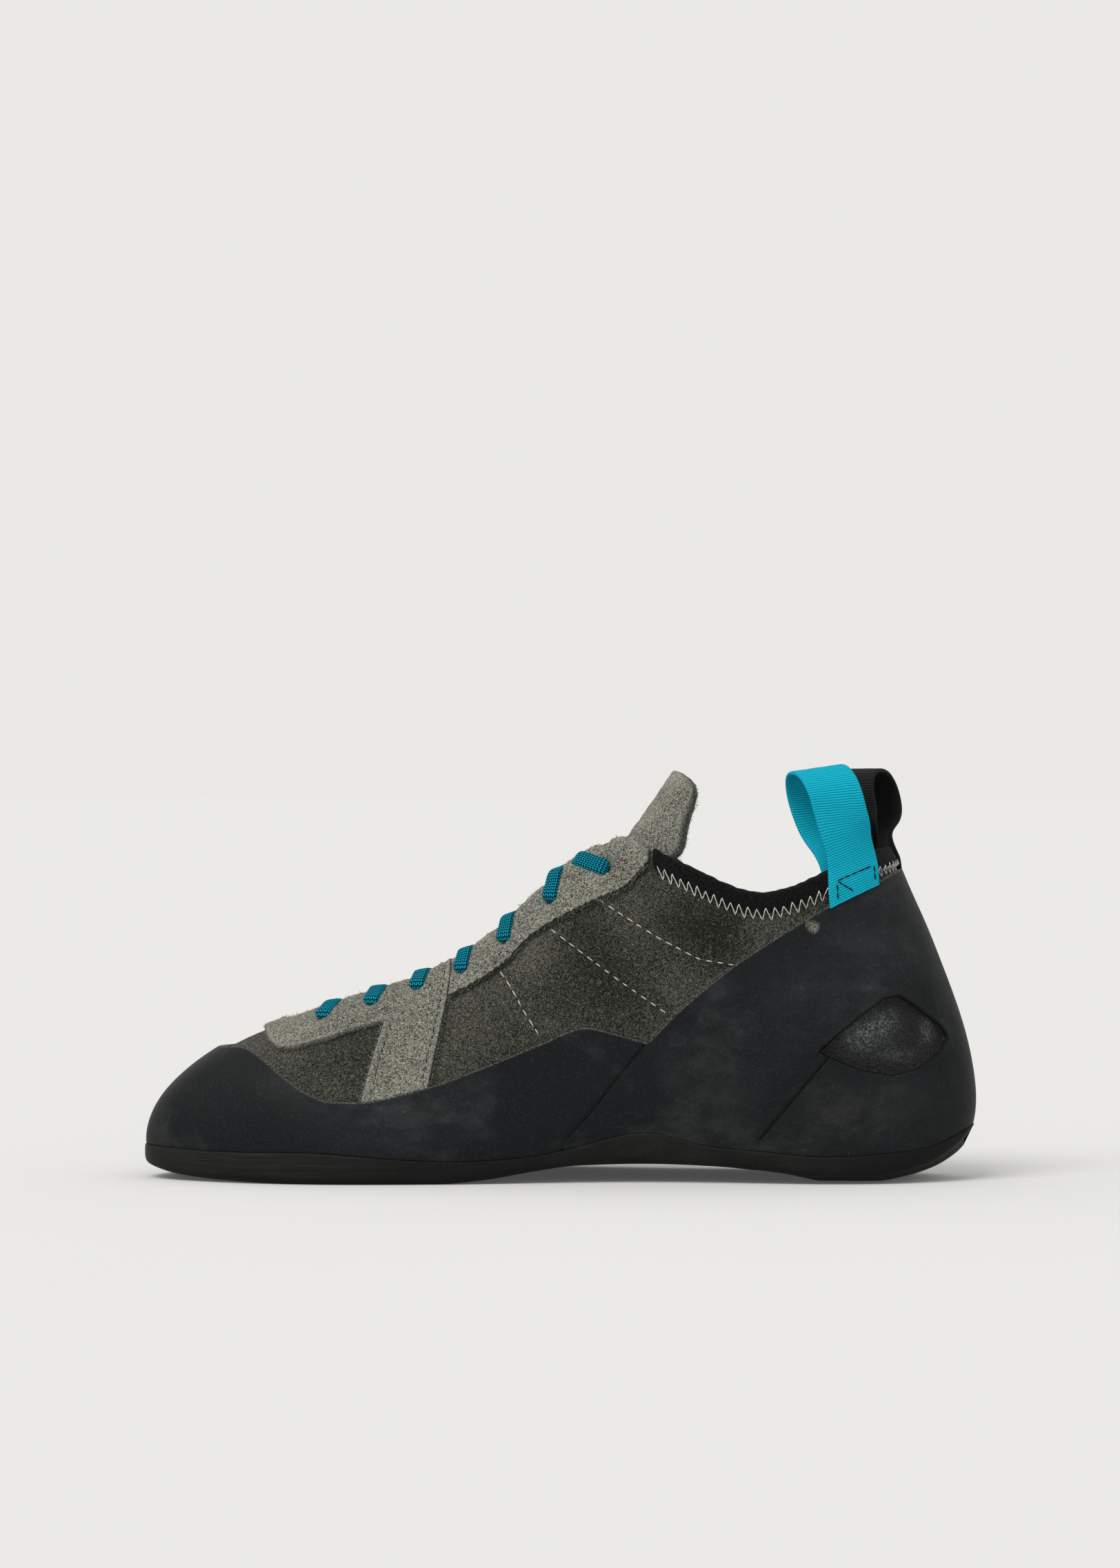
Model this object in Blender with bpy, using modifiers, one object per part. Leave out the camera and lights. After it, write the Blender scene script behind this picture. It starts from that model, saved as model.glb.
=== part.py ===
"""Lace-up climbing shoe for the right foot, standing empty on its sole.

Metres, +Z up. The toe points to -X, the inner side of the foot faces -Y and the floor is z = 0.
Every soft piece is cut from one last: a ring of ribs that climb from the sole edge to the edge
of the throat and collar. A place on the last is (rib, climb): rib counts the rows of the rib
table round the shoe, climb runs from 0 at the sole edge to 1 at the opening.
"""
import bmesh
import bpy
import numpy as np

MM = 0.001

# Driving sizes in millimetres
LAST_LENGTH = 258.0
BALL_WIDTH = 88.0
INSTEP_HEIGHT = 107.0
HEEL_HEIGHT = 103.0

# Where the last's middle and axis lie so that the middle of the finished shoe is at the origin, in mm
MIDDLE_X = -0.65
TOE_X = MIDDLE_X - LAST_LENGTH / 2
AXIS_Y = -0.93

# Material thicknesses and the gap left between neighbouring pieces, in millimetres
UPPER_WALL = 1.8
RAND_THICK = 1.6
EYESTAY_THICK = 1.4
BINDING_THICK = 1.2
TONGUE_THICK = 2.4
STRAP_THICK = 1.4
INSOLE_THICK = 2.0
SOLE_THICK = 5.0
LACE_WIDTH = 3.6
GAP = 0.35
OVERLAY_GAP = 0.45

# How far the binding reaches down from the collar edge, in millimetres
BINDING_DEEP = 5.0

# The last, one row for each rib, toe first, then the inner side, the heel and the outer side.
# along and top_along are shares of LAST_LENGTH from the toe, out and top_out shares of BALL_WIDTH
# from the axis, top_up a share of INSTEP_HEIGHT (throat) or HEEL_HEIGHT (collar), all in percent.
# edge is the sole edge height, rise and flare the lower handle, drop and reach the upper, in mm.
RIB_COLUMNS = ("along", "out", "edge", "rise", "flare",
               "top_along", "top_out", "top_up", "drop", "reach")
COLUMN = {name: place for place, name in enumerate(RIB_COLUMNS)}
TOE_RIB = [(0.5, -14.5, 10.8, 13.2, 1.3, 16.7, -10.8, 45.6, 9.0, 26.5)]
INNER_THROAT_RIBS = [
    (5.0, -33.0, 10.2, 15.5, 2.0, 17.5, -16.5, 46.1, 9.0, 19.5),
    (13.0, -43.8, 9.8, 18.0, 3.0, 20.7, -19.5, 48.4, 7.0, 16.0),
    (21.9, -48.9, 9.9, 20.0, 3.5, 26.2, -19.9, 53.2, 6.0, 15.0),
    (31.2, -47.2, 8.0, 22.0, 3.0, 34.7, -18.8, 60.2, 7.0, 14.0),
    (40.9, -42.0, 7.2, 24.0, 3.0, 43.2, -17.6, 73.4, 9.0, 13.0),
    (50.2, -35.2, 9.6, 26.0, 3.5, 50.6, -17.0, 90.0, 11.0, 13.0),
    (57.6, -31.0, 14.4, 23.0, 4.0, 55.6, -16.8, 98.0, 12.0, 12.5),
    (63.0, -30.0, 15.5, 23.0, 4.5, 59.2, -19.0, 100.2, 15.0, 10.0),
]
INNER_COLLAR_RIBS = [
    (68.5, -30.3, 12.0, 26.0, 4.5, 62.4, -25.0, 99.8, 20.0, 6.0),
    (75.5, -31.6, 10.2, 26.0, 4.0, 68.6, -30.0, 92.2, 24.0, 3.0),
    (82.5, -32.2, 8.7, 26.0, 3.8, 75.8, -31.6, 86.6, 27.0, 2.0),
    (90.0, -28.8, 9.6, 26.0, 4.2, 83.1, -29.0, 92.8, 30.0, 3.0),
    (96.3, -18.0, 12.2, 24.0, 5.0, 88.4, -18.5, 98.4, 30.0, 8.0),
]
HEEL_RIB = [(100.0, -0.6, 17.4, 20.0, 5.2, 90.4, -0.6, 100.0, 30.0, 13.0)]
OUTER_COLLAR_RIBS = [
    (96.3, 17.0, 12.2, 24.0, 5.0, 88.4, 17.6, 96.4, 30.0, 8.0),
    (90.0, 29.0, 9.6, 26.0, 4.2, 83.1, 28.4, 88.4, 30.0, 3.0),
    (82.5, 33.8, 8.7, 26.0, 3.8, 75.8, 31.4, 81.4, 27.0, 2.0),
    (75.5, 35.8, 8.8, 26.0, 4.0, 68.6, 30.4, 87.0, 24.0, 4.0),
    (68.5, 37.8, 9.0, 25.0, 4.0, 62.4, 25.0, 99.6, 20.0, 9.0),
]
OUTER_THROAT_RIBS = [
    (63.0, 39.6, 9.0, 24.0, 4.0, 59.2, 16.6, 99.8, 15.0, 14.0),
    (57.6, 41.6, 9.0, 23.0, 3.5, 55.6, 12.6, 96.3, 12.0, 17.0),
    (50.2, 44.6, 8.8, 22.0, 3.5, 50.6, 10.6, 87.6, 11.0, 19.0),
    (40.9, 48.6, 8.4, 20.0, 3.5, 43.2, 8.0, 72.2, 9.0, 20.0),
    (31.2, 51.0, 8.6, 18.0, 3.5, 34.7, 5.0, 59.0, 8.0, 22.0),
    (21.9, 48.2, 9.4, 17.0, 3.0, 26.2, 2.2, 51.8, 8.0, 22.0),
    (13.0, 37.4, 9.8, 16.0, 2.5, 20.7, -1.2, 47.4, 9.0, 22.0),
    (5.6, 18.5, 10.2, 14.5, 2.0, 17.5, -5.2, 45.7, 9.0, 23.0),
]

# Lines that divide the last into pieces, as (place from its middle, height) in millimetres. They are
# drawn as seen from beside the shoe and LINE_TURN degrees towards the heel, alike on both sides,
# and round off over LINE_BLEND where they cross the middle.
LINE_TURN = 5.0
LINE_BLEND = 10.0
TOE_RAND_LINE = [(-140.0, 39.8), (-105.0, 39.8), (-100.0, 40.2), (-97.5, 39.9), (-93.5, 38.2),
                 (-86.0, 33.0), (-78.5, 28.2), (-71.0, 25.6), (-63.0, 25.4), (-42.0, 29.6),
                 (-28.5, 34.2), (-16.0, 39.2), (-6.0, 43.3), (8.5, 48.0), (18.5, 47.4), (29.0, 45.0),
                 (40.0, 42.0)]
TENSION_LINE = [(-6.0, 6.0), (0.7, 12.5), (7.4, 19.3), (18.6, 33.0), (28.6, 44.7), (41.0, 57.0),
                (56.0, 69.0), (71.0, 78.8), (84.6, 87.0), (97.0, 93.0), (108.0, 97.6), (134.0, 100.0)]
EYESTAY_LINE = [(-97.5, 62.0), (-93.2, 47.6), (-90.0, 42.4), (-86.5, 40.9), (-73.7, 43.6), (-64.2, 46.8),
                (-56.0, 48.9), (-35.9, 56.4), (-25.9, 61.3), (-16.4, 67.9), (-6.8, 77.2), (2.8, 83.0),
                (12.4, 87.8), (20.5, 91.4), (26.3, 97.2), (30.7, 102.2), (33.0, 106.0)]

# Underside of the sole, a row per place: share of length in percent, height of the inner edge and
# of the outer edge in mm
SOLE_BOTTOM = [
    (-1.0, 4.8, 4.8), (4.5, 1.8, 1.8), (10.0, 0.7, 0.8), (15.3, 0.2, 0.3), (20.0, 0.0, 0.0),
    (36.6, 0.0, 0.0), (42.4, 1.2, 0.6), (48.0, 3.6, 2.0), (53.3, 5.3, 3.2), (61.8, 5.8, 3.8),
    (69.6, 5.2, 3.6), (74.2, 4.2, 3.0), (78.5, 2.2, 1.8), (83.0, 0.0, 0.0), (89.2, 0.0, 0.0),
    (92.8, 1.5, 1.5), (96.1, 4.2, 4.2), (98.6, 8.0, 8.0), (100.0, 11.5, 11.5), (101.2, 15.6, 15.6)]

# How much the sides of the heel rise from its flat middle, and where that begins and is full, in mm
HEEL_ROUND = 2.2
HEEL_ROUND_FROM = 62.0
HEEL_ROUND_FULL = 87.0

# Climb left open where two bands meet, the least climb of a band, and the rows across one
SEAM_CLIMB = 0.012
LEAST_CLIMB = 0.025
RAND_STEPS = 5
EYESTAY_STEPS = 3

# Ribs where pieces begin and end, counted in rows of the table
TENSION_FOOT_RIB = 6.15
RAND_TIP_RIB = 7.7
STRAP_FRONT_RIB = 3.54
STRAP_BACK_RIB = 4.36
EYESTAY_END_RIB = 8.85
COLLAR_RIB = 9.0

# Lace holes, counted in ribs, and how far each lies down its rib from the throat edge in mm; how
# far a strand leans towards the next hole; where it stops short of the far edge, and how high
HOLE_RIBS = (2.46, 3.26, 3.87, 4.48, 5.1, 5.82, 7.18)
HOLE_INSET = 8.0
LACE_PULL = 0.28
LACE_STOP = 3.4
LACE_LIFT = 1.4

# Heel window outline seen from the side, (place from the last's middle, height) in millimetres
WINDOW_OUTLINE = [(83.4, 41.3), (95.5, 51.6), (103.0, 57.4), (107.5, 58.2), (113.0, 54.0),
                  (119.5, 48.4), (121.5, 45.0), (119.0, 40.2), (113.5, 35.8), (106.0, 33.8),
                  (97.0, 35.4), (89.5, 38.4)]
# Where its cutter starts from the middle of the shoe and how deep it is
WINDOW_NEAR = 6.0
WINDOW_DEEP = 60.0

# Grid of the last's pieces: columns between two ribs, rows from the sole edge to the opening
COLUMNS_PER_RIB = 3
CLIMB_STEPS = 9
# Edges that turn more than this stay sharp
SHARP_ANGLE = np.radians(50)
# Points tried along a rib when a dividing line is looked for
SEARCH_STEPS = 241

UP = np.array([0.0, 0.0, 1.0])

for leftover in list(bpy.data.objects):
    bpy.data.objects.remove(leftover)


def scaled_ribs(rows, top_height):
    """Turn percent rows into millimetres."""
    table = np.array(rows)
    for name in ("along", "top_along"):
        table[:, COLUMN[name]] = TOE_X + table[:, COLUMN[name]] * LAST_LENGTH / 100
    for name in ("out", "top_out"):
        table[:, COLUMN[name]] = AXIS_Y + table[:, COLUMN[name]] * BALL_WIDTH / 100
    table[:, COLUMN["top_up"]] *= top_height / 100
    return table


RIBS = np.vstack([
    scaled_ribs(TOE_RIB + INNER_THROAT_RIBS, INSTEP_HEIGHT),
    scaled_ribs(INNER_COLLAR_RIBS + HEEL_RIB + OUTER_COLLAR_RIBS, HEEL_HEIGHT),
    scaled_ribs(OUTER_THROAT_RIBS, INSTEP_HEIGHT)])
RIB_COUNT = len(RIBS)
HEEL_AT = RIB_COUNT / 2


def closed_spline_slopes(rows):
    """Slopes of the smooth closed curve that passes through every row, one unit apart."""
    count = len(rows)
    system = 4 * np.eye(count) + np.roll(np.eye(count), 1, 0) + np.roll(np.eye(count), -1, 0)
    return np.linalg.solve(system, 3 * (np.roll(rows, -1, 0) - np.roll(rows, 1, 0)))


RIB_SLOPES = closed_spline_slopes(RIBS)


def rib_values(rib, slope=False):
    """Rows of the rib table at any place round the ring, by cubic pieces between the rows."""
    rib = np.asarray(rib, float) % RIB_COUNT
    low = np.floor(rib).astype(int) % RIB_COUNT
    high = (low + 1) % RIB_COUNT
    u = (rib - np.floor(rib))[..., None]
    a, b, da, db = RIBS[low], RIBS[high], RIB_SLOPES[low], RIB_SLOPES[high]
    if slope:
        return (6 * u * u - 6 * u) * (a - b) + (3 * u * u - 4 * u + 1) * da + (3 * u * u - 2 * u) * db
    return ((2 * u ** 3 - 3 * u * u + 1) * a + (u ** 3 - 2 * u * u + u) * da
            + (3 * u * u - 2 * u ** 3) * b + (u ** 3 - u * u) * db)


def outward(rib):
    """Level unit vector that points out of the sole edge."""
    slope = rib_values(rib, slope=True)
    along, out = slope[..., COLUMN["along"]], slope[..., COLUMN["out"]]
    vector = np.stack([out, -along, np.zeros_like(along)], -1)
    return vector / np.linalg.norm(vector, axis=-1, keepdims=True)


def on_last(rib, climb):
    """Point on the last: each rib is a cubic curve with a lower and an upper handle."""
    row = rib_values(rib)
    out = outward(rib)

    def size(name):
        return row[..., COLUMN[name], None]

    foot = row[..., COLUMN["along"]:COLUMN["edge"] + 1]
    top = row[..., COLUMN["top_along"]:COLUMN["top_up"] + 1]
    low = foot + size("rise") * UP + size("flare") * out
    high = top - size("drop") * UP + size("reach") * out
    t = np.asarray(climb, float)[..., None]
    return ((1 - t) ** 3 * foot + 3 * (1 - t) ** 2 * t * low
            + 3 * (1 - t) * t * t * high + t ** 3 * top)


def off_last(rib, climb, height):
    """Point at a height above the last, measured along its outward normal."""
    rib = np.asarray(rib, float)
    climb = np.asarray(climb, float)
    step = 1e-3
    across = on_last(rib + step, climb) - on_last(rib - step, climb)
    upward = on_last(rib, climb + step) - on_last(rib, climb - step)
    normal = np.cross(across, upward)
    normal = normal / np.linalg.norm(normal, axis=-1, keepdims=True)
    return on_last(rib, climb) + np.asarray(height, float)[..., None] * normal


def smooth_line(points):
    """Height as a smooth function of x that never overshoots the given points."""
    xs, zs = np.array(points, float).T
    step = np.diff(xs)
    slope = np.diff(zs) / step
    tangent = np.zeros(len(xs))
    same = slope[:-1] * slope[1:] > 0
    tangent[1:-1][same] = 2 * slope[:-1][same] * slope[1:][same] / (slope[:-1] + slope[1:])[same]
    tangent[0], tangent[-1] = slope[0], slope[-1]

    def height(x):
        x = np.clip(np.asarray(x, float), xs[0], xs[-1])
        i = np.clip(np.searchsorted(xs, x) - 1, 0, len(step) - 1)
        u = (x - xs[i]) / step[i]
        return ((2 * u ** 3 - 3 * u * u + 1) * zs[i] + (u ** 3 - 2 * u * u + u) * step[i] * tangent[i]
                + (3 * u * u - 2 * u ** 3) * zs[i + 1] + (u ** 3 - u * u) * step[i] * tangent[i + 1])
    return height


def along_line(points):
    """Place along the shoe as the dividing lines count it: near sides shift towards the toe."""
    turn = np.radians(LINE_TURN)
    sideways = np.hypot(points[..., 1], LINE_BLEND)
    return (points[..., 0] - MIDDLE_X) * np.cos(turn) - sideways * np.sin(turn)


def climb_to(line, rib):
    """Climb at which each rib crosses a side line for the last time."""
    height = smooth_line(line)
    climb = np.linspace(0, 1, SEARCH_STEPS)
    points = on_last(np.asarray(rib, float)[:, None], climb[None, :])
    below = points[..., 2] < height(along_line(points))
    last = below.shape[1] - 1 - np.argmax(below[:, ::-1], axis=1)
    return np.where(below.any(axis=1), climb[last], 0.0)


def climb_below_edge(rib, distance):
    """Climb of the place a distance down each rib from the opening, in mm."""
    climb = np.linspace(1, 0, SEARCH_STEPS)
    points = on_last(np.asarray(rib, float)[:, None], climb[None, :])
    length = np.cumsum(np.linalg.norm(np.diff(points, axis=1), axis=2), axis=1)
    return climb[np.argmax(length > distance, axis=1) + 1]


shoe = bpy.data.collections.new("climbing_shoe")
cutters = bpy.data.collections.new("cutters")
bpy.context.scene.collection.children.link(shoe)
bpy.context.scene.collection.children.link(cutters)


def material(name, colour, roughness):
    """Plain Principled material."""
    made = bpy.data.materials.new(name)
    made.use_nodes = True
    shader = made.node_tree.nodes["Principled BSDF"]
    shader.inputs["Base Color"].default_value = (*colour, 1.0)
    shader.inputs["Roughness"].default_value = roughness
    return made


RUBBER = material("rubber", (0.022, 0.023, 0.026), 0.6)
SUEDE_DARK = material("suede_dark", (0.075, 0.074, 0.066), 0.95)
SUEDE_PALE = material("suede_pale", (0.21, 0.205, 0.19), 0.95)
BINDING = material("binding", (0.015, 0.015, 0.016), 0.9)
WEB_BLUE = material("web_blue", (0.02, 0.29, 0.42), 0.7)
WEB_BLACK = material("web_black", (0.013, 0.013, 0.015), 0.8)
LACE = material("lace", (0.02, 0.21, 0.26), 0.8)
FOOTBED = material("footbed", (0.16, 0.15, 0.14), 0.9)


def add_mesh(name, points, faces, look=None, home=shoe):
    """New object from points in millimetres; doubled points are joined, closed skins face out."""
    mesh = bpy.data.meshes.new(name)
    mesh.from_pydata([tuple(p) for p in np.asarray(points) * MM], [], [tuple(f) for f in faces])
    work = bmesh.new()
    work.from_mesh(mesh)
    bmesh.ops.remove_doubles(work, verts=work.verts, dist=2e-5)
    bmesh.ops.dissolve_degenerate(work, edges=work.edges, dist=1e-7)
    if all(edge.is_manifold for edge in work.edges):
        bmesh.ops.recalc_face_normals(work, faces=work.faces)
    work.to_mesh(mesh)
    work.free()
    mesh.shade_smooth()
    mesh.set_sharp_from_angle(angle=SHARP_ANGLE)
    piece = bpy.data.objects.new(name, mesh)
    home.objects.link(piece)
    if look is not None:
        mesh.materials.append(look)
    return piece


def grid_faces(rows, columns, closed_rows=False, closed_columns=False):
    """Quads of a grid whose points are numbered row by row."""
    faces = []
    for i in range(rows if closed_rows else rows - 1):
        for j in range(columns if closed_columns else columns - 1):
            k = (i + 1) % rows
            n = (j + 1) % columns
            faces.append((i * columns + j, k * columns + j, k * columns + n, i * columns + n))
    return faces


def thicken(piece, thickness, outwards):
    """Give a sheet its thickness on the outer or the inner side."""
    shell = piece.modifiers.new("thickness", "SOLIDIFY")
    shell.thickness = thickness * MM
    shell.offset = 1.0 if outwards else -1.0
    shell.use_rim = True
    shell.use_even_offset = False


def strip(name, ribs, low, high, steps, height, look):
    """Sheet between two climbs on every rib, at a height above the last."""
    share = np.linspace(0, 1, steps + 1)[None, :]
    climb = low[:, None] + (high - low)[:, None] * share
    points = off_last(ribs[:, None] + 0 * climb, climb, np.full_like(climb, height))
    return add_mesh(name, points.reshape(-1, 3), grid_faces(len(ribs), steps + 1), look)


def rib_run(first, last):
    """Ribs from first to last on the grid of the upper, with both ends kept."""
    grid = np.arange(np.ceil(first * COLUMNS_PER_RIB), np.floor(last * COLUMNS_PER_RIB) + 1)
    inside = grid / COLUMNS_PER_RIB
    inside = inside[(inside > first + 0.1) & (inside < last - 0.1)]
    return np.concatenate([[first], inside, [last]])


def join_all(base, others):
    """Union of mesh objects into the first one."""
    for other in others:
        union = base.modifiers.new("join", "BOOLEAN")
        union.operation = "UNION"
        union.solver = "EXACT"
        union.object = other
        other.display_type = "WIRE"
        other.hide_render = True


def build_upper():
    """Hollow suede boot: the whole last as one wall."""
    ribs = np.arange(RIB_COUNT * COLUMNS_PER_RIB) / COLUMNS_PER_RIB
    climb = np.linspace(0, 1, CLIMB_STEPS + 1)
    points = on_last(ribs[:, None] + 0 * climb, climb[None, :] + 0 * ribs[:, None])
    faces = grid_faces(len(ribs), len(climb), closed_rows=True)
    thicken(add_mesh("upper", points.reshape(-1, 3), faces, SUEDE_DARK), UPPER_WALL, False)


# How far the sole stands out past the last, and how far its flat underside stops short of that
SOLE_LIP = RAND_THICK + OVERLAY_GAP + 0.4
SOLE_INSET = 4.0
# The rounded side of the sole: share of its height and how far it bulges, in mm
SOLE_SIDE = [(0.55, 0.5), (0.2, 0.0)]
# Places across the sole, from the inner edge to the outer; the heel is flat as far as HEEL_FLAT
HEEL_FLAT = 0.45
SHOULDER = 0.82
ACROSS = np.array([-1.0, -SHOULDER, -HEEL_FLAT, 0.0, HEEL_FLAT, SHOULDER, 1.0])


def sole_sections():
    """Inner and outer ribs joined by each section line of the sole, from toe to heel."""
    half = int(RIB_COUNT * COLUMNS_PER_RIB / 2)
    inner = np.arange(half + 1) / COLUMNS_PER_RIB
    outer = RIB_COUNT - inner
    return inner, outer


def sole_height(points, across, rounding=HEEL_ROUND):
    """Height of the underside at points, from the inner and outer columns of its table."""
    along, inner, outer = np.array(SOLE_BOTTOM).T
    along = TOE_X + along * LAST_LENGTH / 100
    x = points[..., 0]
    inner = smooth_line(np.column_stack([along, inner]))(x)
    outer = smooth_line(np.column_stack([along, outer]))(x)
    lift = rounding * np.clip((x - HEEL_ROUND_FROM) / (HEEL_ROUND_FULL - HEEL_ROUND_FROM), 0, 1)
    side = np.clip((np.abs(across) - HEEL_FLAT) / (1 - HEEL_FLAT), 0, 1)
    return inner + (outer - inner) * (across + 1) / 2 + lift * side ** 2


def sole_top(across):
    """Points on the upper face of the sole, a tray that curls up to the sole edge."""
    inner, outer = sole_sections()
    across = np.broadcast_to(across, (len(inner), across.shape[-1]))
    a = on_last(inner, 0 * inner) + SOLE_LIP * outward(inner) - [0, 0, GAP]
    b = on_last(outer, 0 * outer) + SOLE_LIP * outward(outer) - [0, 0, GAP]
    points = a[:, None] + (b - a)[:, None] * (across[..., None] + 1) / 2
    edge = points[..., 2]
    middle = np.minimum(sole_height(points, across, 0.0) + SOLE_THICK, edge)
    points[..., 2] = middle + (edge - middle) * np.abs(across) ** 4
    return points


def build_outsole():
    """Full-length sole: tray on top, a rounded side and a flat underside with arch and toe spring."""
    inner, outer = sole_sections()
    top = sole_top(ACROSS)

    def side(rib, across, share, lip):
        edge = on_last(rib, 0 * rib) + (SOLE_LIP + lip) * outward(rib)
        floor = sole_height(edge, across)
        edge[:, 2] = floor + (edge[:, 2] - GAP - floor) * share
        return edge

    under_a = side(inner, -1.0, 0.0, -SOLE_INSET)
    under_b = side(outer, 1.0, 0.0, -SOLE_INSET)
    share = (ACROSS[None, ::-1, None] + 1) / 2
    bottom = under_a[:, None] + (under_b - under_a)[:, None] * share
    bottom[..., 2] = sole_height(bottom, ACROSS[None, ::-1])
    loop = [top]
    loop += [side(outer, 1.0, *level)[:, None] for level in SOLE_SIDE]
    loop += [bottom]
    loop += [side(inner, -1.0, *level)[:, None] for level in reversed(SOLE_SIDE)]
    points = np.concatenate(loop, axis=1)
    faces = grid_faces(points.shape[0], points.shape[1], closed_columns=True)
    add_mesh("outsole", points.reshape(-1, 3), faces, RUBBER)


# Width of the insole at its tips and how fast it widens from there, as shares of the sole's width
INSOLE_TIP = 0.05
INSOLE_WIDEN = 0.6


def build_insole():
    """Thin footbed that lies in the tray of the sole, rounded at both ends."""
    inner, outer = sole_sections()
    from_end = np.minimum(inner, HEEL_AT - inner)
    narrow = np.clip(INSOLE_TIP + INSOLE_WIDEN * from_end, 0, 1)
    across = ACROSS[None, 1:-1] * narrow[:, None]
    points = sole_top(across)[2:-3:2] + [0, 0, GAP]
    faces = [face[::-1] for face in grid_faces(points.shape[0], points.shape[1])]
    thicken(add_mesh("insole", points.reshape(-1, 3), faces, FOOTBED), INSOLE_THICK, False)


def build_toe_rand():
    """Rubber band round the toe, cut off behind by the tension edge."""
    ribs = rib_run(-RAND_TIP_RIB, RAND_TIP_RIB)
    high = climb_to(TOE_RAND_LINE, ribs)
    low = np.where(np.abs(ribs) > TENSION_FOOT_RIB - 0.3, climb_to(TENSION_LINE, ribs), 0.0)
    low = np.where(low > 0, low + SEAM_CLIMB, 0.0)
    band = strip("toe_rand", ribs, low, np.maximum(high, low + LEAST_CLIMB), RAND_STEPS, OVERLAY_GAP, RUBBER)
    thicken(band, RAND_THICK, True)


def window_cutter(side):
    """Prism with the outline of the heel window, on one side of the shoe."""
    outline = np.array(WINDOW_OUTLINE)
    count = len(outline)
    near = np.column_stack([outline[:, 0] + MIDDLE_X, np.full(count, side * WINDOW_NEAR), outline[:, 1]])
    far = near + [0, side * WINDOW_DEEP, 0]
    faces = grid_faces(2, count, closed_columns=True)
    faces += [tuple(range(count))[::-1], tuple(range(count, 2 * count))]
    cutter = add_mesh("window_cutter", np.vstack([near, far]), faces, None, cutters)
    cutter.display_type = "WIRE"
    cutter.hide_render = True
    return cutter


def build_heel_rand():
    """Rubber heel cup with its slanting front edge and a window on each side."""
    ribs = rib_run(TENSION_FOOT_RIB, RIB_COUNT - TENSION_FOOT_RIB)
    top = climb_below_edge(ribs, BINDING_DEEP + 2 * GAP)
    high = np.clip(climb_to(TENSION_LINE, ribs), LEAST_CLIMB, top)
    rand = strip("heel_rand", ribs, 0 * ribs, high, RAND_STEPS + 1, OVERLAY_GAP, RUBBER)
    thicken(rand, RAND_THICK, True)
    for side in (-1, 1):
        cut = rand.modifiers.new("window", "BOOLEAN")
        cut.operation = "DIFFERENCE"
        cut.solver = "EXACT"
        cut.object = window_cutter(side)


def build_eyestay():
    """Paler suede U round the throat with a strap down each side to the toe rand."""
    ribs = np.unique(np.concatenate([
        rib_run(-EYESTAY_END_RIB, EYESTAY_END_RIB),
        [-STRAP_BACK_RIB, -STRAP_FRONT_RIB, STRAP_FRONT_RIB, STRAP_BACK_RIB]]))
    low = np.minimum(climb_to(EYESTAY_LINE, ribs), 1 - LEAST_CLIMB)
    share = np.linspace(0, 1, EYESTAY_STEPS + 1)[None, :]
    climb = low[:, None] + (1.0 - low)[:, None] * share
    stay = off_last(ribs[:, None] + 0 * climb, climb, np.full_like(climb, OVERLAY_GAP))
    points = list(stay.reshape(-1, 3))
    faces = grid_faces(len(ribs), EYESTAY_STEPS + 1)
    rand_top = climb_to(TOE_RAND_LINE, ribs) + 2 * SEAM_CLIMB
    for side in (-1, 1):
        place = side * ribs
        inside = np.nonzero((place >= STRAP_FRONT_RIB - 1e-6) & (place <= STRAP_BACK_RIB + 1e-6))[0]
        down = rand_top[inside][:, None] + (low - rand_top)[inside][:, None] * share
        strap = off_last(ribs[inside][:, None] + 0 * down, down, np.full_like(down, OVERLAY_GAP))
        first = len(points)
        points += list(strap.reshape(-1, 3))
        faces += [tuple(first + i for i in face) for face in grid_faces(len(inside), EYESTAY_STEPS + 1)]
    thicken(add_mesh("eyestay", points, faces, SUEDE_PALE), EYESTAY_THICK, True)


# Ribs where the tongue begins and leaves the throat, how far it reaches under the wall in mm, its
# points under the wall and across the throat, and how flat it bridges the throat
TONGUE_FIRST_RIB = 0.75
TONGUE_LAST_RIB = 7.25
TONGUE_UNDER = 13.0
TONGUE_SIDE = 4
TONGUE_BRIDGE = 3
TONGUE_FLAT = 0.18
# The free end of the tongue: lift along its axis, half width and wrap of the edges, its axis, and
# how far it sinks from the throat's line, in mm
TONGUE_TIP = [(11.0, 17.2, 15.2), (20.0, 16.8, 12.4), (26.0, 15.8, 10.5),
              (29.6, 14.0, 9.3), (31.8, 11.0, 8.0), (32.6, 6.5, 5.6)]
TONGUE_AXIS = np.array([0.57, 0.0, 0.82])
TONGUE_SINK = 4.4


def tongue_section(rib):
    """Line across the throat under the wall, from the inner side to the outer side."""
    under = -(UPPER_WALL + OVERLAY_GAP)
    line = []
    for side in (1, -1):
        start = climb_below_edge(np.array([side * rib]), TONGUE_UNDER)[0]
        climb = np.linspace(start, 1.0, TONGUE_SIDE)
        line.append(off_last(side * rib + 0 * climb, climb, under + 0 * climb))
    a, b = line[0][-1], line[1][-1]
    width = np.linalg.norm(b - a)
    da = line[0][-1] - line[0][-2]
    db = line[1][-1] - line[1][-2]
    da = da / np.linalg.norm(da) * width * TONGUE_FLAT
    db = db / np.linalg.norm(db) * width * TONGUE_FLAT
    t = np.linspace(0, 1, TONGUE_BRIDGE + 2)[1:-1, None]
    bridge = (1 - t) ** 3 * a + 3 * (1 - t) ** 2 * t * (a + da)
    bridge = bridge + 3 * (1 - t) * t * t * (b + db) + t ** 3 * b
    return np.vstack([line[0], bridge, line[1][::-1]])


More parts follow.
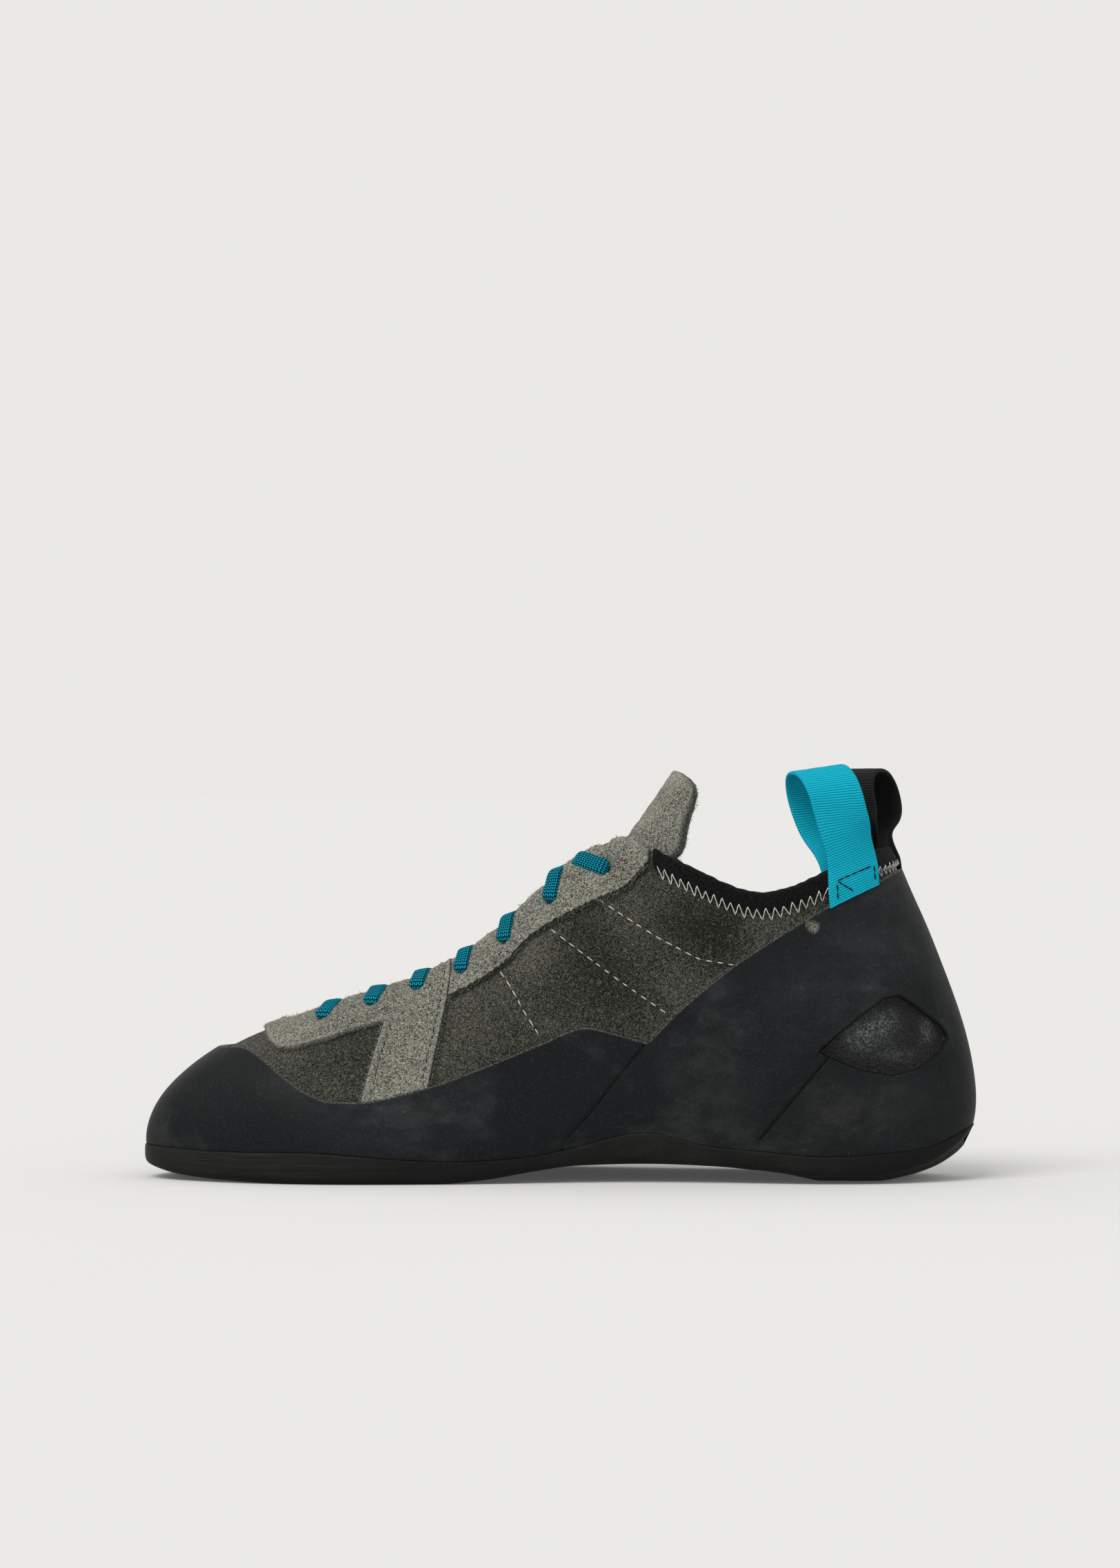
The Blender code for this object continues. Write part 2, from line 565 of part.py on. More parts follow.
def build_tongue():
    """Tongue under the throat, with a free end that wraps round the front of the ankle."""
    ribs = np.arange(TONGUE_FIRST_RIB, TONGUE_LAST_RIB + 0.01, 1 / 2)
    sections = [tongue_section(rib) for rib in ribs]
    count = len(sections[0])
    crest = sections[-1][count // 2]
    back = np.array([TONGUE_AXIS[2], 0.0, -TONGUE_AXIS[0]])
    v = np.linspace(-1, 1, count)[:, None]
    for lift, half, wrap in TONGUE_TIP:
        middle = crest + lift * TONGUE_AXIS - TONGUE_SINK * UP
        sections.append(middle + v * [0, half, 0] + v * v * wrap * back)
    points = np.array(sections)
    faces = grid_faces(points.shape[0], count)
    thicken(add_mesh("tongue", points.reshape(-1, 3), faces, SUEDE_PALE), TONGUE_THICK, False)


def build_binding():
    """Edge binding that folds over the collar from outside to inside, open at the throat."""
    ribs = rib_run(COLLAR_RIB, RIB_COUNT - COLLAR_RIB)
    low = climb_below_edge(ribs, BINDING_DEEP)
    out = OVERLAY_GAP
    inn = -(UPPER_WALL + GAP)
    thick = BINDING_THICK

    def ring(climb, height, lift):
        return off_last(ribs, climb, np.full_like(ribs, height)) + lift * UP

    full = np.ones_like(ribs)
    profile = [
        ring(low, out, 0), ring(full, out, GAP), ring(full, inn, GAP), ring(low, inn, 0),
        ring(low, inn - thick, 0), ring(full, inn - thick * 0.6, GAP + thick * 0.6),
        ring(full, (inn + out) / 2, GAP + thick * 1.1), ring(full, out + thick * 0.6, GAP + thick * 0.6),
        ring(low, out + thick, 0)]
    points = np.stack(profile, axis=1)
    rows, columns = points.shape[:2]
    faces = grid_faces(rows, columns, closed_columns=True)
    faces += [tuple(range(columns)), tuple(range((rows - 1) * columns, rows * columns))[::-1]]
    add_mesh("collar_binding", points.reshape(-1, 3), faces, BINDING)


# Webbing width, how far the legs reach down inside and outside the collar, how much the strap
# clears the binding, and the share of its rise over which it turns flat
LOOP_WIDTH = 17.2
LOOP_DEEP = 9.0
LOOP_OUTER_DEEP = 14.0
LOOP_LIFT = 3.8
LOOP_TURN = 0.28
LOOP_STRIPS = 3
# The free part of a loop from the outer leg over the fold to the inner leg: away from the outer
# leg as a share of the loop's gap, and up as a share of its rise above the collar
LOOP_PATH = [(0.02, 0.1), (0.07, 0.32), (0.09, 0.55), (0.05, 0.8), (-0.16, 0.95), (-0.5, 1.0),
             (-0.84, 0.94), (-1.0, 0.77), (-1.0, 0.55), (-0.9, 0.32), (-0.6, 0.1)]


def ribs_along_collar(rib, distances):
    """Ribs that lie at distances along the collar edge from a rib, in mm."""
    around = np.linspace(rib - 2, rib + 2, 401)
    edge = on_last(around, np.ones_like(around))
    length = np.concatenate([[0], np.cumsum(np.linalg.norm(np.diff(edge, axis=0), axis=1))])
    middle = np.interp(rib, around, length)
    return np.interp(middle + distances, length, around)


def build_loop(name, look, rib, turn, lean, top, tilt, gap):
    """Webbing loop sewn to the collar: outer leg, fold and inner leg, swept across its width.

    The legs lie on the binding; above the collar the strap turns flat and leans along the shoe,
    and its fold rises by tilt from one edge to the other.
    """
    across = np.linspace(-0.5, 0.5, LOOP_STRIPS) * LOOP_WIDTH
    ribs = ribs_along_collar(rib, across)
    edge = on_last(ribs, np.ones(LOOP_STRIPS))
    side = np.sign(edge[:, 1].mean())
    along = np.array([np.cos(turn), np.sin(turn), 0.0]) * -side
    away = np.array([np.sin(turn), -np.cos(turn), 0.0]) * -side
    base = edge.mean(axis=0)
    rise = top - base[2]
    outer = OVERLAY_GAP + BINDING_THICK + GAP + STRAP_THICK / 2 + 0.1
    inner = -(UPPER_WALL + outer)
    low = np.maximum(climb_to(TENSION_LINE, ribs) + 2 * SEAM_CLIMB, climb_below_edge(ribs, LOOP_OUTER_DEEP))
    foot = climb_below_edge(ribs, LOOP_DEEP)

    def leg(start, share, height):
        return off_last(ribs, start + (1 - start) * share, height + 0 * ribs)

    rows = [leg(low, share, outer) for share in (0.0, 0.45, 0.85)]
    for reach, up in LOOP_PATH:
        flat = np.clip(up / LOOP_TURN, 0, 1)
        start = edge * (1 - flat) + (base + across[:, None] * along) * flat
        out = outer + reach * (gap + outer - inner)
        lift = up * (rise + tilt * across / LOOP_WIDTH) + LOOP_LIFT * (1 - flat)
        rows.append(start + away * out + along * lean * up + lift[:, None] * UP)
    rows += [leg(foot, share, inner) for share in (0.85, 0.4, 0.0)]
    points = np.array(rows)
    loop = add_mesh(name, points.reshape(-1, 3), grid_faces(len(rows), LOOP_STRIPS), look)
    thicken(loop, STRAP_THICK, True)
    loop.modifiers["thickness"].offset = 0.0


def strand(near_rib, far_rib, side, over):
    """Round cord from the top of a hole, over the throat edge and across to the other side.

    A cord that goes under the far eyestay stops short of its edge; one that goes over reaches its hole.
    """
    height = OVERLAY_GAP + EYESTAY_THICK + GAP + LACE_WIDTH / 2
    near, far = side * near_rib, -side * far_rib
    pull = side * (far_rib - near_rib) * LACE_PULL
    hole_near = climb_below_edge(np.array([near]), HOLE_INSET)[0]
    hole_far = climb_below_edge(np.array([far]), HOLE_INSET)[0]
    up = np.array([hole_near, (1 + hole_near) / 2, 1])
    down = np.array([1, (1 + hole_far) / 2, hole_far])
    first = off_last(near + pull * np.array([0, 0.5, 1]), up, np.full(3, height))
    last = off_last(far + pull * np.array([1, 0.5, 0]), down, np.full(3, height))
    middle = (first[2] + last[0]) / 2
    if not over:
        edge = on_last(np.array([far + pull]), np.array([1.0]))
        inwards = (first[2] - edge) / np.linalg.norm(first[2] - edge)
        last = edge + LACE_STOP * inwards + LACE_LIFT * UP
    path = np.vstack([first, [middle], last])
    curve = bpy.data.curves.new("strand", "CURVE")
    curve.dimensions = "3D"
    line = curve.splines.new("POLY")
    line.points.add(len(path) - 1)
    for point, place in zip(line.points, path):
        point.co = (*(place * MM), 1.0)
    curve.bevel_depth = LACE_WIDTH / 2 * MM
    curve.bevel_resolution = 1
    curve.use_fill_caps = True
    sketch = bpy.data.objects.new("strand", curve)
    cutters.objects.link(sketch)
    mesh = bpy.data.meshes.new_from_object(sketch)
    bpy.data.objects.remove(sketch)
    work = bmesh.new()
    work.from_mesh(mesh)
    bmesh.ops.remove_doubles(work, verts=work.verts, dist=1e-6)
    bmesh.ops.recalc_face_normals(work, faces=work.faces)
    work.to_mesh(mesh)
    work.free()
    mesh.shade_smooth()
    return mesh


def build_laces():
    """Each crossing of the lace: two strands joined where they cross."""
    for k in range(len(HOLE_RIBS) - 1):
        over = k == len(HOLE_RIBS) - 2
        meshes = [strand(HOLE_RIBS[k], HOLE_RIBS[k + 1], side, over) for side in (1, -1)]
        base = bpy.data.objects.new("lace_cross_%d" % (k + 1), meshes[0])
        shoe.objects.link(base)
        meshes[0].materials.append(LACE)
        other = bpy.data.objects.new("strand", meshes[1])
        cutters.objects.link(other)
        join_all(base, [other])


build_upper()
build_outsole()
build_insole()
build_tongue()
build_toe_rand()
build_heel_rand()
build_eyestay()
build_binding()
build_loop("pull_loop_medial", WEB_BLUE, rib=12.48, turn=np.radians(20), lean=-8.0, top=128.8,
           tilt=2.4, gap=13.5)
build_loop("pull_loop_lateral", WEB_BLACK, rib=RIB_COUNT - 13.28, turn=np.radians(-23), lean=5.0,
           top=128.6, tilt=0.0, gap=10.3)
build_laces()
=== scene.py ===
"""Looks of a lace-up climbing shoe for the right foot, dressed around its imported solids.

Shapes are in millimetres until add_piece turns them into metres. The toe points to -X, the inner
side of the foot faces -Y and the floor is z = 0. Every soft piece is cut from one last: a ring of
ribs that climb from the sole edge (climb 0) to the edge of throat and collar (climb 1).
"""

import bpy
import numpy as np
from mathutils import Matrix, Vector


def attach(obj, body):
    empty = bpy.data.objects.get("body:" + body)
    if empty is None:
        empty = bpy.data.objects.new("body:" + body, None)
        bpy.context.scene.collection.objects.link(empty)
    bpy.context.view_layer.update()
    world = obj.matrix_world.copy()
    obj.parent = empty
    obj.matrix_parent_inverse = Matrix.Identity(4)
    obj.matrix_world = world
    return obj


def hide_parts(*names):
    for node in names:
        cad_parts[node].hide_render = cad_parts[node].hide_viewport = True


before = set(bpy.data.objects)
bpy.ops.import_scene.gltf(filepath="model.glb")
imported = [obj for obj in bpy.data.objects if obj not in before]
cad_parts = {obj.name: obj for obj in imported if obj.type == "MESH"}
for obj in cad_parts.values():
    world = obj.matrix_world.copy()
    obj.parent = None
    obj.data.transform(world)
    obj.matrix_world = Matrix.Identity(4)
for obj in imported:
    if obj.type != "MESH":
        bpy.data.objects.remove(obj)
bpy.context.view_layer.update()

MM = 0.001
UP = np.array([0.0, 0.0, 1.0])
rng = np.random.default_rng(7)

# Driving sizes of the last in millimetres, and where its middle and its axis lie
LAST_LENGTH = 258.0
BALL_WIDTH = 88.0
INSTEP_HEIGHT = 107.0
HEEL_HEIGHT = 103.0
MIDDLE_X = -0.65
TOE_X = MIDDLE_X - LAST_LENGTH / 2
AXIS_Y = -0.93

# Material thicknesses in millimetres; the overlays reach from the last's skin to their full height
UPPER_WALL = 1.8
RAND_HIGH = 2.05
STAY_HIGH = 1.85
STRAP_EXTRA = 0.45
BINDING_DEEP = 5.0
TONGUE_THICK = 2.4
WEB_THICK = 1.4
INSOLE_THICK = 2.0
SOLE_THICK = 5.0

# The camera: degrees towards the heel and above level, metres away, what it aims at, and the
# height of the frame at the shoe in metres
VIEW_TURN = 5.0
VIEW_RISE = 0.0
VIEW_AWAY = 1.6
VIEW_AIM = (-0.0003, 0.0, 0.1243)
VIEW_HEIGHT = 0.4982

# The last, one row for each rib, toe first, then the inner side, the heel and the outer side.
# along and top_along are shares of LAST_LENGTH from the toe, out and top_out shares of BALL_WIDTH
# from the axis, top_up a share of INSTEP_HEIGHT (throat) or HEEL_HEIGHT (collar), all in percent.
# edge is the sole edge height, rise and flare the lower handle, drop and reach the upper, in mm.
RIB_COLUMNS = ("along", "out", "edge", "rise", "flare",
               "top_along", "top_out", "top_up", "drop", "reach")
COLUMN = {name: place for place, name in enumerate(RIB_COLUMNS)}
TOE_RIB = [(0.5, -14.5, 10.8, 13.2, 1.3, 16.7, -10.8, 45.6, 9.0, 26.5)]
INNER_THROAT_RIBS = [
    (5.0, -33.0, 10.2, 15.5, 2.0, 17.5, -16.5, 46.1, 9.0, 19.5),
    (13.0, -43.8, 9.8, 18.0, 3.0, 20.7, -19.5, 48.4, 7.0, 16.0),
    (21.9, -48.9, 9.9, 20.0, 3.5, 26.2, -19.9, 53.2, 6.0, 15.0),
    (31.2, -47.2, 8.0, 22.0, 3.0, 34.7, -18.8, 60.2, 7.0, 14.0),
    (40.9, -42.0, 7.2, 24.0, 3.0, 43.2, -17.6, 73.4, 9.0, 13.0),
    (50.2, -35.2, 9.6, 26.0, 3.5, 50.6, -17.0, 90.0, 11.0, 13.0),
    (57.6, -31.0, 14.4, 23.0, 4.0, 55.6, -16.8, 98.0, 12.0, 12.5),
    (63.0, -30.0, 15.5, 23.0, 4.5, 59.2, -19.0, 100.2, 15.0, 10.0),
]
INNER_COLLAR_RIBS = [
    (68.5, -30.3, 12.0, 26.0, 4.5, 62.4, -25.0, 99.8, 20.0, 6.0),
    (75.5, -31.6, 10.2, 26.0, 4.0, 68.6, -30.0, 92.2, 24.0, 3.0),
    (82.5, -32.2, 8.7, 26.0, 3.8, 75.8, -31.6, 86.6, 27.0, 2.0),
    (90.0, -28.8, 9.6, 26.0, 4.2, 83.1, -29.0, 92.8, 30.0, 3.0),
    (96.3, -18.0, 12.2, 24.0, 5.0, 88.4, -18.5, 98.4, 30.0, 8.0),
]
HEEL_RIB = [(100.0, -0.6, 17.4, 20.0, 5.2, 90.4, -0.6, 100.0, 30.0, 13.0)]
OUTER_COLLAR_RIBS = [
    (96.3, 17.0, 12.2, 24.0, 5.0, 88.4, 17.6, 96.4, 30.0, 8.0),
    (90.0, 29.0, 9.6, 26.0, 4.2, 83.1, 28.4, 88.4, 30.0, 3.0),
    (82.5, 33.8, 8.7, 26.0, 3.8, 75.8, 31.4, 81.4, 27.0, 2.0),
    (75.5, 35.8, 8.8, 26.0, 4.0, 68.6, 30.4, 87.0, 24.0, 4.0),
    (68.5, 37.8, 9.0, 25.0, 4.0, 62.4, 25.0, 99.6, 20.0, 9.0),
]
OUTER_THROAT_RIBS = [
    (63.0, 39.6, 9.0, 24.0, 4.0, 59.2, 16.6, 99.8, 15.0, 14.0),
    (57.6, 41.6, 9.0, 23.0, 3.5, 55.6, 12.6, 96.3, 12.0, 17.0),
    (50.2, 44.6, 8.8, 22.0, 3.5, 50.6, 10.6, 87.6, 11.0, 19.0),
    (40.9, 48.6, 8.4, 20.0, 3.5, 43.2, 8.0, 72.2, 9.0, 20.0),
    (31.2, 51.0, 8.6, 18.0, 3.5, 34.7, 5.0, 59.0, 8.0, 22.0),
    (21.9, 48.2, 9.4, 17.0, 3.0, 26.2, 2.2, 51.8, 8.0, 22.0),
    (13.0, 37.4, 9.8, 16.0, 2.5, 20.7, -1.2, 47.4, 9.0, 22.0),
    (5.6, 18.5, 10.2, 14.5, 2.0, 17.5, -5.2, 45.7, 9.0, 23.0),
]

# Lines that divide the last into pieces, as (place from its middle, height) in millimetres. They are
# drawn as seen from beside the shoe and LINE_TURN degrees towards the heel, alike on both sides.
LINE_TURN = 5.0
LINE_BLEND = 10.0
TOE_RAND_LINE = [(-140.0, 39.8), (-105.0, 39.8), (-100.0, 40.2), (-97.5, 39.9), (-93.5, 38.2),
                 (-86.0, 33.0), (-78.5, 28.2), (-71.0, 25.6), (-63.0, 25.4), (-42.0, 29.6),
                 (-28.5, 34.2), (-16.0, 39.2), (-6.0, 43.3), (8.2, 48.4), (16.0, 46.9), (27.7, 43.8),
                 (40.0, 41.0)]
TENSION_LINE = [(-6.0, 6.0), (0.7, 12.5), (7.4, 19.3), (18.6, 33.0), (28.6, 44.7), (41.0, 57.0),
                (56.0, 69.0), (71.0, 78.8), (84.6, 87.0), (97.0, 93.0), (108.0, 97.6), (134.0, 100.0)]
EYESTAY_LINE = [(-97.5, 62.0), (-93.2, 47.6), (-90.0, 42.4), (-86.5, 40.9), (-73.7, 43.6), (-64.2, 46.8),
                (-56.0, 48.9), (-35.9, 56.4), (-25.9, 61.3), (-16.4, 67.9), (-6.8, 77.2), (2.8, 83.0),
                (12.4, 87.8), (20.5, 91.4), (26.3, 97.2), (30.7, 102.2), (33.0, 106.0)]

# Underside of the sole, a row per place: share of length in percent, height of the inner edge and
# of the outer edge in mm
SOLE_BOTTOM = [
    (-1.0, 4.8, 4.8), (4.5, 1.8, 1.8), (10.0, 0.7, 0.8), (15.3, 0.2, 0.3), (20.0, 0.0, 0.0),
    (36.6, 0.0, 0.0), (42.4, 1.2, 0.6), (48.0, 3.6, 2.0), (53.3, 5.3, 3.2), (61.8, 5.8, 3.8),
    (69.6, 5.2, 3.6), (74.2, 4.2, 3.0), (78.5, 2.2, 1.8), (83.0, 0.0, 0.0), (89.2, 0.0, 0.0),
    (92.8, 1.5, 1.5), (96.1, 4.2, 4.2), (98.6, 8.0, 8.0), (100.0, 11.5, 11.5), (101.2, 15.6, 15.6)]
# How far the heel's underside rounds up to its sides in mm, the places along the shoe between which
# that comes in, the share of its width that stays flat, and how far the sole stands out in mm
HEEL_ROUND = 2.2
HEEL_ROUND_FROM = 62.0
HEEL_ROUND_FULL = 87.0
HEEL_FLAT = 0.45
SOLE_LIP = 2.45

# Ribs where pieces begin and end, counted in rows of the table
TENSION_FOOT_RIB = 6.15
RAND_TIP_RIB = 7.96
STRAP_FRONT_RIB = 3.54
STRAP_BACK_RIB = 4.36
EYESTAY_END_RIB = 8.85
COLLAR_RIB = 9.0

# Lace holes, counted in ribs, how far each lies down its rib from the throat edge in mm, and how
# far a strand leans towards the next hole
HOLE_RIBS = np.array([2.46, 3.26, 3.87, 4.48, 5.1, 5.82, 7.18])
HOLE_INSETS = np.array([8.0, 8.0, 6.8, 8.0, 8.0, 8.0, 9.8])
LACE_PULL = 0.15

# Pitch of the pull loops' cross ribs in millimetres
LOOP_PITCH = 0.77

# Heel window outline seen from the side, (place from the last's middle, height) in millimetres
WINDOW_OUTLINE = [(83.4, 41.3), (95.5, 51.6), (103.0, 57.4), (107.5, 58.2), (113.0, 54.0),
                  (119.5, 48.4), (121.5, 45.0), (119.0, 40.2), (113.5, 35.8), (106.0, 33.8),
                  (97.0, 35.4), (89.5, 38.4)]

# Creases: soft troughs (below zero) and ridges (above), drawn from the side as (x, height) to
# (x, height), with half width and height in millimetres
CREASES = [
    ((62.0, 13.0), (84.0, 40.0), 5.0, -0.9),
    ((54.0, 18.0), (80.0, 46.0), 6.0, 0.7),
    ((40.0, 38.0), (66.0, 62.0), 7.0, -0.5),
    ((-12.0, 74.0), (2.0, 58.0), 5.0, 0.8),
    ((-4.0, 76.0), (12.0, 60.0), 5.0, -0.7),
    ((36.0, 92.0), (52.0, 72.0), 6.0, 0.6),
    ((24.0, 86.0), (40.0, 66.0), 7.0, -0.6),
    ((-72.0, 22.0), (-50.0, 18.0), 7.0, -0.6),
    ((-100.0, 30.0), (-84.0, 22.0), 8.0, 0.5),
    ((-30.0, 30.0), (4.0, 40.0), 7.0, -0.5),
    ((-86.0, 41.0), (-74.0, 34.0), 5.0, -0.5),
]

# Nap patches on the dark suede: (x, height), radius in mm, and how much lighter or darker
NAP_PATCHES = [
    ((-10.0, 72.0), 9.0, 0.8), ((-24.0, 60.0), 12.0, 0.2), ((8.0, 70.0), 14.0, -0.7),
    ((16.0, 60.0), 16.0, -0.6), ((36.0, 66.0), 11.0, 0.5), ((40.0, 88.0), 12.0, -0.4),
    ((52.0, 78.0), 10.0, -0.5), ((-22.0, 44.0), 12.0, -0.1), ((4.0, 54.0), 9.0, 0.3),
    ((-70.0, 38.0), 9.0, -0.5), ((-82.0, 40.0), 8.0, 0.3), ((26.0, 82.0), 9.0, 0.35),
    ((44.0, 72.0), 13.0, -0.8),
]

# Chalky and clean patches of the rubber, as above
HAZE_PATCHES = [
    ((-76.0, 27.0), 11.0, 0.35), ((-62.0, 20.0), 10.0, 0.35), ((-48.0, 14.0), 7.0, 0.3),
    ((-30.0, 24.0), 12.0, 0.2), ((0.0, 30.0), 17.0, -0.8), ((20.0, 22.0), 11.0, -0.5),
    ((36.0, 34.0), 10.0, 0.3), ((52.0, 26.0), 12.0, 0.25), ((72.0, 60.0), 14.0, 0.2),
    ((98.0, 72.0), 16.0, 0.6), ((104.0, 26.0), 13.0, 0.45), ((82.0, 24.0), 8.0, 0.25),
    ((122.0, 50.0), 9.0, -0.2), ((-118.0, 22.0), 16.0, -0.4), ((8.0, 44.0), 5.0, 0.3),
    ((30.0, 14.0), 6.0, 0.2),
]

# Gentle unevenness of everything on the last: height and length of its waves in mm
SKIN_WAVE_HIGH = 0.12
SKIN_WAVE_LONG = 23.0

# Small step in ribs or climb for slopes on the last
STEP = 1e-3


def scaled_ribs(rows, top_height):
    """Turn percent rows into millimetres."""
    table = np.array(rows)
    for name in ("along", "top_along"):
        table[:, COLUMN[name]] = TOE_X + table[:, COLUMN[name]] * LAST_LENGTH / 100
    for name in ("out", "top_out"):
        table[:, COLUMN[name]] = AXIS_Y + table[:, COLUMN[name]] * BALL_WIDTH / 100
    table[:, COLUMN["top_up"]] *= top_height / 100
    return table


RIBS = np.vstack([
    scaled_ribs(TOE_RIB + INNER_THROAT_RIBS, INSTEP_HEIGHT),
    scaled_ribs(INNER_COLLAR_RIBS + HEEL_RIB + OUTER_COLLAR_RIBS, HEEL_HEIGHT),
    scaled_ribs(OUTER_THROAT_RIBS, INSTEP_HEIGHT)])
RIB_COUNT = len(RIBS)
HEEL_AT = RIB_COUNT / 2


def closed_spline_slopes(rows):
    """Slopes of the smooth closed curve that passes through every row, one unit apart."""
    count = len(rows)
    system = 4 * np.eye(count) + np.roll(np.eye(count), 1, 0) + np.roll(np.eye(count), -1, 0)
    return np.linalg.solve(system, 3 * (np.roll(rows, -1, 0) - np.roll(rows, 1, 0)))


RIB_SLOPES = closed_spline_slopes(RIBS)


def blend(a, b, share):
    """Straight line from a to b."""
    return a + (b - a) * share


def hermite(u, a, b, da, db):
    """Cubic from a to b with the slopes da and db at its ends."""
    return ((2 * u ** 3 - 3 * u * u + 1) * a + (u ** 3 - 2 * u * u + u) * da
            + (3 * u * u - 2 * u ** 3) * b + (u ** 3 - u * u) * db)


def cubic(t, a, low, high, b):
    """Cubic curve from a to b with a handle at each end."""
    return ((1 - t) ** 3 * a + 3 * (1 - t) ** 2 * t * low
            + 3 * (1 - t) * t * t * high + t ** 3 * b)


def run_along(points, axis=0):
    """Length run along rows of points, up to each point."""
    steps = np.linalg.norm(np.diff(points, axis=axis), axis=-1)
    return np.concatenate([0 * steps.take([0], axis), np.cumsum(steps, axis)], axis)


def rib_values(rib, slope=False):
    """Rows of the rib table at any place round the ring, by cubic pieces between the rows."""
    rib = np.asarray(rib, float) % RIB_COUNT
    low = np.floor(rib).astype(int) % RIB_COUNT
    high = (low + 1) % RIB_COUNT
    u = (rib - np.floor(rib))[..., None]
    a, b, da, db = RIBS[low], RIBS[high], RIB_SLOPES[low], RIB_SLOPES[high]
    if slope:
        return (6 * u * u - 6 * u) * (a - b) + (3 * u * u - 4 * u + 1) * da + (3 * u * u - 2 * u) * db
    return hermite(u, a, b, da, db)


def unit(vectors):
    """Vectors brought to length 1."""
    return vectors / np.maximum(np.linalg.norm(vectors, axis=-1, keepdims=True), 1e-9)


def outward(rib):
    """Level unit vector that points out of the sole edge."""
    slope = rib_values(rib, slope=True)
    along, out = slope[..., COLUMN["along"]], slope[..., COLUMN["out"]]
    return unit(np.stack([out, -along, np.zeros_like(along)], -1))


def on_last(rib, climb):
    """Point on the last: each rib is a cubic curve with a lower and an upper handle."""
    row = rib_values(rib)
    out = outward(rib)

    def size(name):
        return row[..., COLUMN[name], None]

    foot = row[..., COLUMN["along"]:COLUMN["edge"] + 1]
    top = row[..., COLUMN["top_along"]:COLUMN["top_up"] + 1]
    low = foot + size("rise") * UP + size("flare") * out
    high = top - size("drop") * UP + size("reach") * out
    return cubic(np.asarray(climb, float)[..., None], foot, low, high, top)


def last_normal(rib, climb):
    """Unit normal of the last: the cross product of its two directions."""
    across = on_last(rib + STEP, climb) - on_last(rib - STEP, climb)
    upward = on_last(rib, climb + STEP) - on_last(rib, climb - STEP)
    return unit(np.cross(across, upward))


def along_line(points):
    """Place along the shoe as the dividing lines count it: near sides shift towards the toe."""
    turn = np.radians(LINE_TURN)
    sideways = np.hypot(points[..., 1], LINE_BLEND)
    return (points[..., 0] - MIDDLE_X) * np.cos(turn) - sideways * np.sin(turn)


def smoothstep(value, low, high):
    """Smooth change from 0 at low to 1 at high."""
    t = np.clip((value - low) / (high - low), 0, 1)
    return t * t * (3 - 2 * t)


def to_segment(x, z, a, b):
    """Distance from places (x, z) to the straight line from a to b, and the share along it."""
    a, b = np.array(a, float), np.array(b, float)
    run = b - a
    share = np.clip(((x - a[0]) * run[0] + (z - a[1]) * run[1]) / (run @ run), 0, 1)
    return np.hypot(x - a[0] - share * run[0], z - a[1] - share * run[1]), share


def relief(points):
    """Sum of the creases: each is a bell of the distance to its line, and fades at the line's ends."""
    x, z = along_line(points), points[..., 2]
    total = np.zeros(points.shape[:-1])
    for a, b, half, high in CREASES:
        away, share = to_segment(x, z, a, b)
        total += high * np.exp(-(away / half) ** 2) * (0.35 + 0.65 * np.sin(np.pi * share))
    return total


def ripple(points, length):
    """Gentle unevenness between -1 and 1: two bent sine waves of about that length."""
    k = 2 * np.pi / length
    x, y, z = points[..., 0] * k, points[..., 1] * k, points[..., 2] * k
    first = np.sin(0.83 * x + 0.51 * z + 1.3 * np.sin(0.47 * y + 0.39 * z + 0.6))
    second = np.sin(0.37 * x - 0.79 * z + 1.1 * np.sin(0.58 * x + 0.33 * y + 2.1))
    return (first + second) / 2


def skin(rib, climb, height):
    """Point at a height above the creased last, measured along its outward normal."""
    rib, climb, height = np.broadcast_arrays(
        np.asarray(rib, float), np.asarray(climb, float), np.asarray(height, float))
    base = on_last(rib, climb)
    lift = height + relief(base) + SKIN_WAVE_HIGH * ripple(base, SKIN_WAVE_LONG)
    return base + lift[..., None] * last_normal(rib, climb)


def smooth_line(points):
    """Height as a smooth function of x that never overshoots the given points."""
    xs, zs = np.array(points, float).T
    step = np.diff(xs)
    slope = np.diff(zs) / step
    tangent = np.zeros(len(xs))
    same = slope[:-1] * slope[1:] > 0
    tangent[1:-1][same] = 2 * slope[:-1][same] * slope[1:][same] / (slope[:-1] + slope[1:])[same]
    tangent[0], tangent[-1] = slope[0], slope[-1]

    def height(x):
        x = np.clip(np.asarray(x, float), xs[0], xs[-1])
        i = np.clip(np.searchsorted(xs, x) - 1, 0, len(step) - 1)
        u = (x - xs[i]) / step[i]
        return hermite(u, zs[i], zs[i + 1], step[i] * tangent[i], step[i] * tangent[i + 1])
    return height


SEARCH_STEPS = 481


def climb_to(line, rib):
    """Climb at which each rib crosses a side line for the last time, by straight steps between samples."""
    height = smooth_line(line)
    climb = np.linspace(0, 1, SEARCH_STEPS)
    points = on_last(np.asarray(rib, float)[:, None], climb[None, :])
    over = points[..., 2] - height(along_line(points))
    below = over < 0
    last = below.shape[1] - 1 - np.argmax(below[:, ::-1], axis=1)
    following = np.minimum(last + 1, SEARCH_STEPS - 1)
    row = np.arange(len(last))
    a, b = over[row, last], over[row, following]
    part = np.where(b > a, np.clip(-a / np.maximum(b - a, 1e-9), 0, 1), 0)
    return np.where(below.any(axis=1), blend(climb[last], climb[following], part), 0.0)


def arc_lengths(rib, low, high, samples):
    """Climbs between low and high on each rib, and the length run along the rib up to each."""
    climb = blend(low[:, None], high[:, None], np.linspace(0, 1, samples)[None, :])
    return climb, run_along(on_last(rib[:, None], climb), axis=1)


